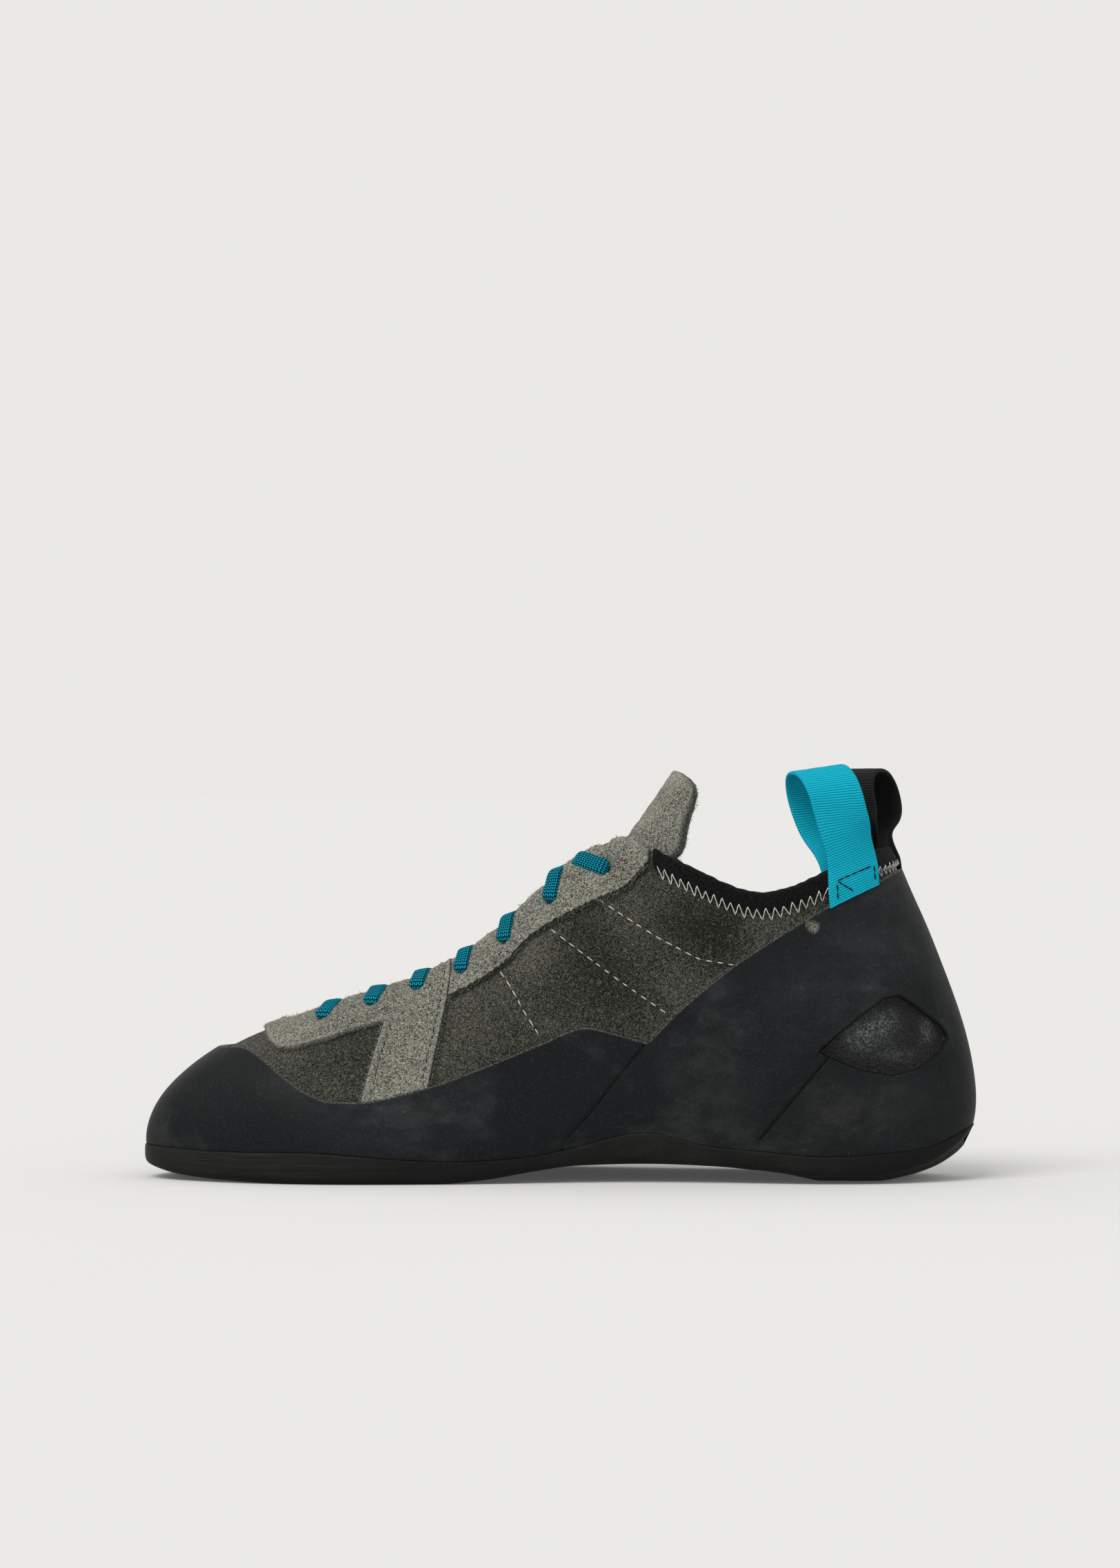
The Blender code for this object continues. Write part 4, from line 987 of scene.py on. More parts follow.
def build_insole():
    """Footbed: a sheet in the sole's tray, rounded at both ends."""
    inner = np.linspace(INSOLE_END, HEEL_AT - INSOLE_END, 160)
    narrow = np.clip(0.05 + 0.6 * np.minimum(inner, HEEL_AT - inner), 0, 1)
    across = np.linspace(-INSOLE_HALF, INSOLE_HALF, 25)[None, :] * narrow[:, None]
    points = sole_top(inner, across) + (SKIN_GAP + INSOLE_THICK / 2) * UP
    add_rings("footbed", sheet_rings(points, INSOLE_THICK)[0], FOOTBED, "footbed", "insole")


# Where the toe rand tucks in under the tension edge: climb below that edge, depth in mm, and the
# distances from its lower edge in mm between which it sinks
TUCK_CLIMB = 0.022
TUCK_DEEP = 0.55
TUCK_OVER = (4.2, 2.0)
# Least climb of a rubber band, and the heel rand's distance to the binding in mm
LEAST_BAND = 0.025
HEEL_TO_BINDING = 0.7


def build_toe_rand():
    """Rubber band round the toe up to its side line, tucked in behind under the tension edge."""
    ribs = np.linspace(-RAND_TIP_RIB, RAND_TIP_RIB, 440)
    behind = np.abs(ribs) > TENSION_FOOT_RIB - 0.3
    low = np.maximum(np.where(behind, climb_to(TENSION_LINE, ribs) - TUCK_CLIMB, 0.0), 0.0)
    high = np.maximum(climb_to(TOE_RAND_LINE, ribs), low + LEAST_BAND)
    climb, share, below, above = band(ribs, low, high, 44, 6)
    tucked = TUCK_DEEP * smoothstep(below, *TUCK_OVER) * smoothstep(low, 0.0, 0.03)[:, None]
    points = skin(ribs[:, None], climb, SKIN_GAP + share * (RAND_HIGH - SKIN_GAP - tucked))
    none = np.zeros(points.shape[:2])
    add_rings("toe_rubber", points, RAND_RUBBER, "rubber", "toe_rand", edge=above, window=none - FAR,
              hole=none, slit=none + FAR, shine=none, haze=patches(points, HAZE_PATCHES))


# Heel rubber: the ends of its slit, with how high one bank of it stands and how deep it is, and the
# small worn hole as middle, half length, half height and depth, all in mm
SLIT = ((84.6, 41.2), (62.2, 13.8))
SLIT_STEP = 0.45
SLIT_DEEP = 0.5
WORN_HOLE = (78.6, 79.8, 2.6, 1.9)
WORN_DEEP = 0.8
# Depth of the window and height of the lip round it in mm, and where painted highlights lie on its
# leather: x, height, half width, half height in mm, and how much
WINDOW_DEEP = 1.45
WINDOW_LIP = 0.35
WINDOW_SHINE = [(94.5, 46.5, 6.5, 4.6, 1.3), (100.5, 50.5, 4.5, 3.5, 0.8), (114.0, 47.5, 2.2, 4.0, 0.9),
                (105.0, 40.0, 6.0, 2.0, 0.45)]
# Ribs between which the heel's points lie closer, for the window's edge, and the least distance of
# a window from the middle of the heel in mm
HEEL_DENSE = (11.0, 13.8)
WINDOW_FROM = 6.0


def heel_top(ribs):
    """Climb of the heel rand's upper edge: the tension line, and no higher than the binding."""
    return np.clip(climb_to(TENSION_LINE, ribs), LEAST_BAND,
                   climb_below_edge(ribs, BINDING_DEEP + HEEL_TO_BINDING))


def slit_places(x, z):
    """Distance across the slit's line, to the slit, and one that counts three times past its ends."""
    away = to_segment(x, z, *SLIT)[0]
    lead = np.array(SLIT[1]) - np.array(SLIT[0])
    across = ((x - SLIT[0][0]) * lead[1] - (z - SLIT[0][1]) * lead[0]) / np.hypot(*lead)
    past = np.sqrt(np.maximum(away ** 2 - across ** 2, 0))
    return across, away, np.hypot(across, 3 * past)


def worn_hole(x, z):
    """Shape of the worn hole: 1 in its middle, 0 at its rim and below 0 outside, narrower at its foot."""
    middle_x, middle_z, half_x, half_z = WORN_HOLE
    right, up = (x - middle_x) / half_x, (z - middle_z) / half_z
    return 1 - np.hypot(right / (0.8 + 0.3 * np.clip(up, -1, 1)) + 0.25 * up, up)


def build_heel_rand():
    """Rubber heel cup below the tension edge, sunk in at its windows and split along the slit."""
    first, last = HEEL_DENSE
    half = np.concatenate([np.linspace(TENSION_FOOT_RIB, first, 150), np.linspace(first, last, 132)[1:],
                           np.linspace(last, HEEL_AT, 12)[1:]])
    ribs = np.concatenate([half, RIB_COUNT - half[-2::-1]])
    climb, share, _, above = band(ribs, 0 * ribs, heel_top(ribs), 110, 8)
    base = on_last(ribs[:, None], climb)
    x, y, z = along_line(base), base[..., 1], base[..., 2]
    window = polygon_inside(base[..., 0] - MIDDLE_X, z, WINDOW_OUTLINE)
    window = np.where(np.abs(y) > WINDOW_FROM, window, -FAR)
    sunk = smoothstep(window, -0.25, 0.35) * WINDOW_DEEP
    lip = WINDOW_LIP * np.exp(-(window / 1.1) ** 2) * (window < 0.2)
    across, away, slit = slit_places(x, z)
    step = SLIT_STEP * smoothstep(across, -0.4, 0.4) * np.exp(-(away / 5.0) ** 2)
    step = step - SLIT_DEEP * np.exp(-(slit / 0.4) ** 2)
    worn = np.where(y < 0, worn_hole(x, z), -1.0)
    # Painted highlights on the window's leather
    shine = sum(amount * np.exp(-((x - px) / wide) ** 2 - ((z - pz) / tall) ** 2)
                for px, pz, wide, tall, amount in WINDOW_SHINE)
    height = RAND_HIGH - SKIN_GAP - sunk + lip + step - WORN_DEEP * np.clip(worn * 2, 0, 1)
    points = skin(ribs[:, None], climb, SKIN_GAP + share * height)
    joined = (np.minimum(ribs, RIB_COUNT - ribs) < RAND_TIP_RIB)[:, None]
    add_rings("heel_rubber", points, RAND_RUBBER, "rubber", "heel_rand", edge=above + FAR * joined,
              window=window, hole=np.clip(worn * 7, 0, 1), slit=slit, shine=shine,
              haze=patches(points, HAZE_PATCHES))


# Dents round the lace holes: width in mm, and the distances between which the painted shade in their middle
# fades
DENT_WIDE = 1.9
HOLE_DARK = (1.7, 1.0)
# Highest climb of the eyestay's lower edge
STAY_MOST = 0.97


def hole_distance(points):
    """Distance of points on the last to the nearest lace hole, in mm."""
    ribs = np.concatenate([HOLE_RIBS, -HOLE_RIBS])
    holes = on_last(ribs, climb_below_edge(ribs, np.tile(HOLE_INSETS, 2)))
    return np.linalg.norm(points[..., None, :] - holes, axis=-1).min(axis=-1)


def fray(ribs, turns, sizes):
    """Fine unevenness along an edge: a sum of three sine waves."""
    return sum(size * np.sin(ribs * turn + k) for k, (turn, size) in enumerate(zip(turns, sizes)))


def scallop(ribs):
    """How far the throat edge is worn back in mm: a notch at every strand and a fine fray."""
    notch = np.exp(-((np.abs(ribs)[:, None] - HOLE_RIBS - 0.03) / 0.16) ** 2).sum(axis=1)
    return 0.3 + 1.7 * notch + fray(ribs, (37, 59, 83), (0.12, 0.1, 0.08))


def build_eyestay():
    """Paler suede U round the throat, dented at the lace holes and worn at its edges."""
    ribs = np.linspace(-EYESTAY_END_RIB, EYESTAY_END_RIB, 640)
    rough = fray(ribs, (31, 49, 74), (0.0018, 0.0018, 0.00144))
    low = np.minimum(climb_to(EYESTAY_LINE, ribs) + rough, STAY_MOST)
    high = np.maximum(climb_below_edge(ribs, scallop(ribs)), low + 0.012)
    climb, share, below, above = band(ribs, low, high, 44, 6)
    base = on_last(ribs[:, None], climb)
    away = hole_distance(base)
    dent = 0.9 * np.exp(-(away / DENT_WIDE) ** 2) - 0.2 * np.exp(-((away - 4.0) / 1.6) ** 2)
    height = STAY_HIGH - SKIN_GAP - dent + 0.1 * ripple(base, 3.1)
    points = skin(ribs[:, None], climb, SKIN_GAP + share * height)
    # Weight of the painted shade along the lower cut edge, weaker in front of the straps
    dark = (0.35 + 0.65 * smoothstep(np.abs(ribs), 3.4, 4.6))[:, None]
    # Painted shade in the lace holes as well
    add_rings("eyestay_suede", points, PALE_SUEDE, "suede_pale", "eyestay", edge=np.minimum(below, above),
              cut=smoothstep(below, 1.0, 0.5) * dark, hole=smoothstep(away, *HOLE_DARK))


# Distance of the straps' stitches from their long edges, in mm
STRAP_SEAM = 2.6


def build_strap(side, name):
    """Strap from the rand up over the eyestay: higher over it, rounded at its two long edges."""
    place = np.linspace(0, 1, 70)[::side]
    ribs = side * blend(STRAP_FRONT_RIB, STRAP_BACK_RIB, place)
    low = climb_to(TOE_RAND_LINE, ribs) - 0.006
    high = climb_below_edge(ribs, scallop(ribs) + 0.3)
    climb, share, _, above = band(ribs, low, high, 76, 6)
    base = on_last(ribs[:, None], climb)
    stay = climb_to(EYESTAY_LINE, ribs)[:, None]
    over = smoothstep(climb, stay - 0.012, stay + 0.03)
    width = np.linalg.norm(base[0] - base[-1], axis=-1)[None, :]
    front, back = place[:, None] * width, (1 - place[:, None]) * width
    merged = over * smoothstep(front, 8.0, 1.0)
    free = np.minimum(front + FAR * merged, back)
    seam = np.minimum(np.abs(front - STRAP_SEAM), np.abs(back - STRAP_SEAM))
    away = hole_distance(base)
    full = STAY_HIGH + STRAP_EXTRA * (over - merged) + 0.08 * ripple(base, 3.1)
    full = full - 0.25 * np.exp(-(seam / 0.5) ** 2) * (1 - merged) - 1.1 * np.exp(-(away / DENT_WIDE) ** 2)
    rounded = np.where(share > 0.6, np.interp(free, *EDGE_PROFILE[1:].T), 1)
    points = skin(ribs[:, None], climb, SKIN_GAP + share * rounded * (full - SKIN_GAP))
    # Painted shade along the strap's back cut edge, and in its lace holes
    add_rings(name, points, PALE_SUEDE, "suede_pale", "eyestay", edge=np.minimum(free, above),
              cut=smoothstep(back, 0.9, 0.4), hole=smoothstep(away, *HOLE_DARK))


# The tongue: ribs where it begins and leaves the throat, how far it reaches under the wall and lies
# below it in mm, how flat it bridges the throat, and its free end as lift, half width and wrap in mm
TONGUE_RIBS = np.arange(0.25, 7.26, 0.5)
TONGUE_UNDER = 13.0
TONGUE_BELOW = 4.2
TONGUE_FLAT = 0.18
TONGUE_TIP = [(11.0, 17.2, 15.2), (20.0, 16.8, 12.4), (26.0, 15.8, 10.5),
              (29.6, 14.0, 9.3), (31.8, 11.0, 8.0), (32.6, 6.5, 5.6)]
TONGUE_AXIS = np.array([0.57, 0.0, 0.82])
# How far the free end starts below the last section's crest in mm, and points along and across
TONGUE_SINK = 2.45
TONGUE_ROWS = 230
TONGUE_SIDE_POINTS = 19
TONGUE_BRIDGE_POINTS = 23


def tongue_section(rib):
    """Line across the throat below the wall: up one side, a cubic bridge, and down the other side."""
    line = []
    for side in (1, -1):
        start = climb_below_edge(np.array([side * rib]), TONGUE_UNDER)[0]
        climb = np.linspace(start, 1.0, TONGUE_SIDE_POINTS)
        line.append(skin(side * rib, climb, -TONGUE_BELOW))
    a, b = line[0][-1], line[1][-1]
    reach = np.linalg.norm(b - a) * TONGUE_FLAT
    da, db = unit(a - line[0][-2]) * reach, unit(b - line[1][-2]) * reach
    t = np.linspace(0, 1, TONGUE_BRIDGE_POINTS + 2)[1:-1, None]
    return np.vstack([line[0], cubic(t, a, a + da, b + db, b), line[1][::-1]])


def tongue_grid():
    """Middle face of the tongue: a spline through its sections and its free end, which wraps back."""
    sections = [tongue_section(rib) for rib in TONGUE_RIBS]
    count = len(sections[0])
    crest = sections[-1][count // 2] - TONGUE_SINK * UP
    back = np.array([TONGUE_AXIS[2], 0.0, -TONGUE_AXIS[0]])
    v = np.linspace(-1, 1, count)[:, None]
    for lift, half, wrap in TONGUE_TIP:
        sections.append(crest + lift * TONGUE_AXIS + v * [0, half, 0] + v * v * wrap * back)
    return spline_rows(np.array(sections), TONGUE_ROWS)


def build_tongue():
    """Tongue: a suede sheet under the throat with a rough free end."""
    points = tongue_grid()
    points = points + 0.18 * (ripple(points, 4.0) + ripple(points, 9.0))[..., None] * UP
    rings, near = sheet_rings(points, TONGUE_THICK)
    tip = np.linalg.norm(points - points[-1:].mean(axis=1, keepdims=True), axis=-1)
    edge = both_faces(np.minimum(near, np.maximum(tip - 6.0, 0)))
    add_rings("tongue_suede", rings - TONGUE_THICK / 2 * UP, PALE_SUEDE, "suede_pale", "tongue",
              edge=edge, cut=0 * edge, hole=0 * edge)


# Profile of the edge tape: share of the way from its lower edge to the rim, height above the last and
# lift in mm, on the outside and over the rim, and then on the inside from the lining's face
TAPE_OUTSIDE = [(0.0, 0.1, 0), (0.0, 1.0, 0), (0.1, 1.5, 0), (0.4, 1.7, 0), (0.8, 1.62, 0), (1.0, 1.3, 0.7)]
TAPE_INSIDE = [(1.0, -0.8, 0.8), (0.7, -1.2, 0), (0.3, -1.2, 0), (0.0, -1.0, 0), (0.0, -0.1, 0)]
TAPE_TOP = 1.6
TAPE_GAP = 0.35


def build_binding():
    """Edge tape: a spline profile from outside over the rim to the inside, with soft wrinkles."""
    ribs = np.linspace(COLLAR_RIB, RIB_COUNT - COLLAR_RIB, 520)
    low = climb_below_edge(ribs, BINDING_DEEP)
    inside = -(UPPER_WALL + TAPE_GAP)
    profile = TAPE_OUTSIDE + [(1.0, inside / 2, TAPE_TOP)]
    profile = profile + [(share, inside + height, lift) for share, height, lift in TAPE_INSIDE]
    rows = [skin(ribs, blend(low, 1, share), height) + lift * UP for share, height, lift in profile]
    points = spline_rows(np.array(rows), 44).transpose(1, 0, 2)
    wrinkle = 0.16 * ripple(points * [1.6, 1.6, 0.7], 5.0)
    add_rings("collar_tape", points + wrinkle[..., None] * grid_normal(points), BLACK_BINDING, "binding",
              "collar_binding")


# Pull loops: webbing width, how far the legs reach down inside and outside the collar, how far the
# outer leg stands out, how much the strap clears the binding, all in mm, and the share of its rise
# over which it turns flat
LOOP_WIDTH = 17.2
LOOP_DEEP = 9.0
LOOP_OUTER_DEEP = 14.0
LOOP_OUT = 2.8
LOOP_LIFT = 3.8
LOOP_TURN = 0.62
# The outer leg as share of its climb and height in mm, and the shares of the inner leg
LOOP_OUTER_LEG = [(0.0, 1.9), (0.3, 2.4), (0.6, LOOP_OUT), (0.85, LOOP_OUT)]
LOOP_INNER_LEG = (0.85, 0.4, 0.0)
# The free part of a loop from the outer leg over the fold to the inner leg: away from the outer
# leg as a share of the loop's gap, and up as a share of its rise above the collar
LOOP_PATH = [(0.02, 0.1), (0.07, 0.32), (0.09, 0.55), (0.05, 0.8), (-0.16, 0.95), (-0.5, 1.0),
             (-0.84, 0.94), (-1.0, 0.77), (-1.0, 0.55), (-0.9, 0.32), (-0.6, 0.1)]
LOOP_ACROSS = np.concatenate([[-0.5, -0.497, -0.485, -0.46], np.linspace(-0.43, 0.43, 17),
                              [0.46, 0.485, 0.497, 0.5]])
LOOP_MIDDLE = len(LOOP_ACROSS) // 2
# Each loop's rib, the turn of its fold, and in mm its lean along the fold, the height of its top,
# its tilt and its gap
LOOPS = {
    "medial": dict(rib=12.48, turn=np.radians(20), lean=-8.0, top=128.8, tilt=2.4, gap=13.5),
    "lateral": dict(rib=RIB_COUNT - 13.28, turn=np.radians(-23), lean=5.0, top=128.6, tilt=0.0, gap=10.3),
}


def ribs_along_collar(rib, distances):
    """Ribs that lie at distances along the collar edge from a rib, in mm."""
    around = np.linspace(rib - 2, rib + 2, 401)
    length = run_along(on_last(around, np.ones_like(around)))
    return np.interp(np.interp(rib, around, length) + distances, length, around)


def loop_grid(rib, turn, lean, top, tilt, gap, rows):
    """Middle face of a webbing loop: a spline up the outer leg, over the fold and down the inner leg."""
    across = LOOP_ACROSS * LOOP_WIDTH
    ribs = ribs_along_collar(rib, across)
    edge = on_last(ribs, np.ones(len(across)))
    side = np.sign(edge[:, 1].mean())
    along = np.array([np.cos(turn), np.sin(turn), 0.0]) * -side
    away = np.array([np.sin(turn), -np.cos(turn), 0.0]) * -side
    base = on_last(np.array([rib]), np.ones(1))[0]
    rise = top - base[2]
    inner = -(UPPER_WALL + LOOP_OUT)
    low = np.maximum(climb_to(TENSION_LINE, ribs) - 0.012, climb_below_edge(ribs, LOOP_OUTER_DEEP))
    foot = climb_below_edge(ribs, LOOP_DEEP)
    line = [skin(ribs, blend(low, 1, share), height) for share, height in LOOP_OUTER_LEG]
    for reach, up in LOOP_PATH:
        flat = smoothstep(up, 0.0, LOOP_TURN)
        spread = blend(edge - base, across[:, None] * along, flat)
        start = base + unit(spread) * np.abs(across)[:, None]
        out = LOOP_OUT + reach * (gap + LOOP_OUT - inner)
        lift = up * (rise + tilt * LOOP_ACROSS) + LOOP_LIFT * (1 - flat)
        line.append(start + away * out + along * lean * up + lift[:, None] * UP)
    line += [skin(ribs, blend(foot, 1, share), inner) for share in LOOP_INNER_LEG]
    return spline_rows(np.array(line), rows)


def build_loop(side, look, slot):
    """Webbing loop: a sheet about its middle face, its edges a little fuller; weave places in mm."""
    points = loop_grid(rows=420, **LOOPS[side])
    run = run_along(points[:, LOOP_MIDDLE])[:, None]
    across = LOOP_ACROSS[None, :] * LOOP_WIDTH + 0 * run
    rounded = 0.05 * np.exp(-((LOOP_WIDTH / 2 - np.abs(across) - 0.9) / 0.5) ** 2)
    rings = sheet_rings(points, WEB_THICK - 0.1, rounded + 0.04 * ripple(points, 6.0))[0]
    add_rings("pull_loop_%s_webbing" % side, rings, look, slot, "pull_loop_%s" % side,
              run=both_faces(run + 0 * across), across=both_faces(across))


# Lace: width and thickness in mm, and how far the last strand leans back from its hole in ribs
LACE_WIDE = 5.0
LACE_THICK = 1.5
LAST_PULL = 0.82


def lace_path(side):
    """Points and upward directions of one half of the lace, from the first hole to the last.

    Each strand comes up through a hole, leans towards the ankle over the throat edge, crosses above
    the tongue and dives under the other eyestay to the next hole; the last goes over and in from above.
    Every place is a rib, a distance down from the throat edge and a height above the last, in mm.
    """
    places = []

    def add(rib, measured, distance, height):
        climb = climb_below_edge(np.array([measured]), distance)
        rib = np.array([rib])
        places.append([skin(rib, climb, height)[0], last_normal(rib, climb)[0]])

    def rim(rib, height):
        return skin(np.array([rib]), np.ones(1), height)[0]

    for k in range(len(HOLE_RIBS) - 1):
        near, far = side * HOLE_RIBS[k], -side * HOLE_RIBS[k + 1]
        lean = side * (HOLE_RIBS[k + 1] - HOLE_RIBS[k]) * LACE_PULL
        inset, next_inset = HOLE_INSETS[k], HOLE_INSETS[k + 1]
        if k == 0:
            add(near, near, inset, -5.0)
        add(near, near, inset, -0.8)
        lift = STRAP_EXTRA if STRAP_FRONT_RIB < HOLE_RIBS[k] < STRAP_BACK_RIB else 0.0
        for share, distance, height in ((0.08, inset - 0.6, 1.9), (0.4, inset * 0.55, 2.35),
                                        (0.8, 1.2, 2.2), (1.0, 0.0, 1.3)):
            add(near + lean * share, near, distance, height + lift)
        over_far = k == len(HOLE_RIBS) - 2
        back = side * LAST_PULL if over_far else lean
        a = rim(near + lean, -0.6)
        b = rim(far + back, 0.2 if over_far else -1.9)
        on_top = -0.2 if (side > 0) == (k % 2 == 0) else -1.9
        up = unit(last_normal(np.array([near, far]), np.ones(2)).sum(axis=0))
        for share, raise_by in ((0.3, -0.9), (0.5, on_top - 0.4), (0.7, -0.7)):
            places.append([blend(a, b, share) + raise_by * UP, up])
        ending = ((0.9, 1.0, -2.95), (0.3, next_inset - 3.0, -3.0), (0.0, next_inset + 0.4, -2.4))
        if over_far:
            ending = ((0.86, 2.2, 1.9), (0.45, next_inset - 3.2, 2.3), (0.08, next_inset - 0.5, 1.9),
                      (0.0, next_inset, -0.8), (0.0, next_inset, -4.0))
        for share, distance, height in ending:
            add(far + back * share, far, distance, height)
    return np.array(places)


def oval(value, power):
    """Sine or cosine drawn towards a flat oval: its size to a power, with its sign."""
    return np.sign(value) * np.abs(value) ** power


def build_lace(side, name, nodes):
    """One half of the lace: a flat oval carried along its path; braid places in mm along and round it."""
    track = spline_rows(lace_path(side), 900)
    path, up = track[:, 0], track[:, 1]
    ahead = unit(np.gradient(path, axis=0))
    wide = unit(np.cross(ahead, up))
    up = np.cross(wide, ahead)
    run = run_along(path)[:, None]
    turn = np.linspace(0, 2 * np.pi, 36, endpoint=False)[None, ::-1]
    a = LACE_WIDE / 2 * (1 + 0.05 * np.sin(run / 7.0)) * oval(np.cos(turn), 0.5)
    b = LACE_THICK / 2 * oval(np.sin(turn), 0.6)
    points = path[:, None] + a[..., None] * wide[:, None] + b[..., None] * up[:, None]
    add_rings(name, points, TEAL_LACE, "lace", nodes, run=run + 0 * a, across=a + LACE_WIDE)


# A direction that no thread follows, to turn the threads' rings by
THREAD_SIDE = np.array([0.05, 0.1, 1.0])


def add_threads(name, lines, radius, look, sides=6):
    """Stitches or hairs as one piece: a thin tube along each line of points, narrow at both ends."""
    lines = np.concatenate(lines)
    count, rows = lines.shape[:2]
    ahead = unit(np.gradient(lines, axis=1))
    aside = unit(np.cross(ahead, THREAD_SIDE))
    over = np.cross(aside, ahead)
    share = np.linspace(-1, 1, rows)
    thick = (radius * (0.25 + 0.75 * np.sqrt(1 - share ** 2)))[None, :, None, None]
    turn = np.linspace(0, 2 * np.pi, sides, endpoint=False)[:, None]
    ring = np.cos(turn) * aside[:, :, None] + np.sin(turn) * over[:, :, None]
    first = np.arange(count)[:, None] * rows * sides
    faces = (grid_faces(rows, sides, closed_columns=True).ravel()[None, :] + first).reshape(-1, 4)
    caps = np.stack([cap[None, :] + first for cap in ring_caps(rows, sides)], axis=1).reshape(-1, sides)
    add_piece(name, lines[:, :, None] + thick * ring, faces, [look], caps=list(caps))


def dashes(line, pitch, length):
    """Starts and ends of stitches along a line of points: one every pitch, some shorter, in mm."""
    line = np.asarray(line, float)
    run = run_along(line)
    start = np.arange(0.3, run[-1] - length, pitch)
    stop = start + length * (0.85 + 0.3 * rng.random(len(start)))
    at = np.stack([start, stop], axis=1)
    return np.stack([np.interp(at, run, line[:, k]) for k in range(line.shape[1])], axis=-1)


def even_dashes(line, rib, climb, pitch, length, spare):
    """Ribs and climbs at the ends of even stitches along a line of points, which stop short of its end."""
    run = run_along(line)
    at = np.arange(0.5, run[-1] - spare, pitch)[:, None] + np.array([[0.0, length]])
    return np.interp(at, run, rib), np.interp(at, run, climb)


def place_on_side(x, z, side):
    """Ribs and climbs of places (x, z) as drawn from the side: nearest sample, then Newton steps."""
    ribs, climbs = np.meshgrid(side * np.linspace(0.3, HEEL_AT - 0.3, 140), np.linspace(0, 1, 80))
    base = on_last(ribs.ravel(), climbs.ravel())
    near = np.hypot(along_line(base) - x[:, None], base[:, 2] - z[:, None]).argmin(axis=1)
    rib, climb = ribs.ravel()[near], climbs.ravel()[near]

    def drawn(rib, climb):
        point = on_last(rib, climb)
        return np.stack([along_line(point), point[..., 2]], -1)

    for _ in range(4):
        miss = drawn(rib, climb) - np.stack([x, z], -1)
        by_rib = (drawn(rib + STEP, climb) - drawn(rib - STEP, climb)) / (2 * STEP)
        by_climb = (drawn(rib, climb + STEP) - drawn(rib, climb - STEP)) / (2 * STEP)
        size = by_rib[:, 0] * by_climb[:, 1] - by_rib[:, 1] * by_climb[:, 0]
        rib = rib - np.clip((miss[:, 0] * by_climb[:, 1] - miss[:, 1] * by_climb[:, 0]) / size, -0.3, 0.3)
        climb = climb - np.clip((by_rib[:, 0] * miss[:, 1] - by_rib[:, 1] * miss[:, 0]) / size, -0.1, 0.1)
    return rib, np.clip(climb, 0, 1)


def side_stitches(seam, side, pitch, length):
    """Ribs and climbs at the ends of stitches along a line drawn from the side."""
    ends = dashes(seam, pitch, length)
    rib, climb = place_on_side(ends[..., 0].ravel(), ends[..., 1].ravel(), side)
    return rib.reshape(-1, 2), climb.reshape(-1, 2)


def stitch_rows(rib, climb, height, arch, rows=5):
    """Lines of stitches between ends given as ribs and climbs, raised by an arch in the middle."""
    share = np.linspace(0, 1, rows)[None, :]
    rib, climb = blend(rib[:, :1], rib[:, 1:], share), blend(climb[:, :1], climb[:, 1:], share)
    return skin(rib, climb, height + arch * np.sin(np.pi * share))


# White stitch lines on the suede and faint ones on the eyestay, drawn from the side as the dividing
# lines are, in mm, and how high each white line lies
SUEDE_SEAMS = [
    ([(-18.8, 66.0), (-15.0, 60.6), (-10.6, 52.6), (-4.4, 43.2)], 0.02),
    ([(-5.9, 81.2), (6.0, 72.4), (18.0, 63.4), (34.4, 52.1)], -0.08),
    ([(11.9, 88.4), (22.0, 81.8), (30.6, 76.4), (43.6, 69.7), (57.0, 67.6)], -0.08),
]
STAY_SEAMS = [[(-13.4, 87.2), (-6.6, 81.8)], [(0.4, 96.6), (11.4, 88.8)]]
# Zigzag along the binding: pitch of its turns, and how far they reach above and below the lower edge in mm
ZIGZAG_PITCH = 1.42
ZIGZAG_ABOVE = 1.3
ZIGZAG_BELOW = 2.3
WHITE_RADIUS = 0.19


def build_seams():
    """White dashes along the seams of the suede and the zigzag along the binding's lower edge."""
    lines = []
    for side in (1, -1):
        for seam, high in SUEDE_SEAMS:
            ends = side_stitches(seam, side, 3.5, 2.3)
            height = high - 0.07 * rng.random((len(ends[0]), 1))
            lines.append(stitch_rows(*ends, height, 0.2))
    add_threads("seam_stitches", lines, WHITE_RADIUS, WHITE_THREAD)
    around = np.linspace(COLLAR_RIB + 0.08, RIB_COUNT - COLLAR_RIB - 0.08, 900)
    run = run_along(on_last(around, climb_below_edge(around, BINDING_DEEP)))
    rib = np.interp(np.arange(0.4, run[-1], ZIGZAG_PITCH), run, around)
    rib = rib + 0.012 * np.sin(rib * 41)
    high = np.arange(len(rib)) % 2 == 0
    down = BINDING_DEEP + np.where(high, -ZIGZAG_ABOVE, ZIGZAG_BELOW) + 0.25 * np.sin(rib * 29)
    share = np.linspace(0, 1, 7)[None, :]
    ribs, downs = [blend(ends[:-1, None], ends[1:, None], share) for ends in (rib, down)]
    climb = climb_below_edge(ribs.ravel(), downs.ravel()).reshape(ribs.shape)
    height = 0.3 + 1.5 * smoothstep(downs, BINDING_DEEP + 0.5, BINDING_DEEP - 0.3)
    add_threads("zigzag_stitches", [skin(ribs, climb, height)], WHITE_RADIUS, WHITE_THREAD)


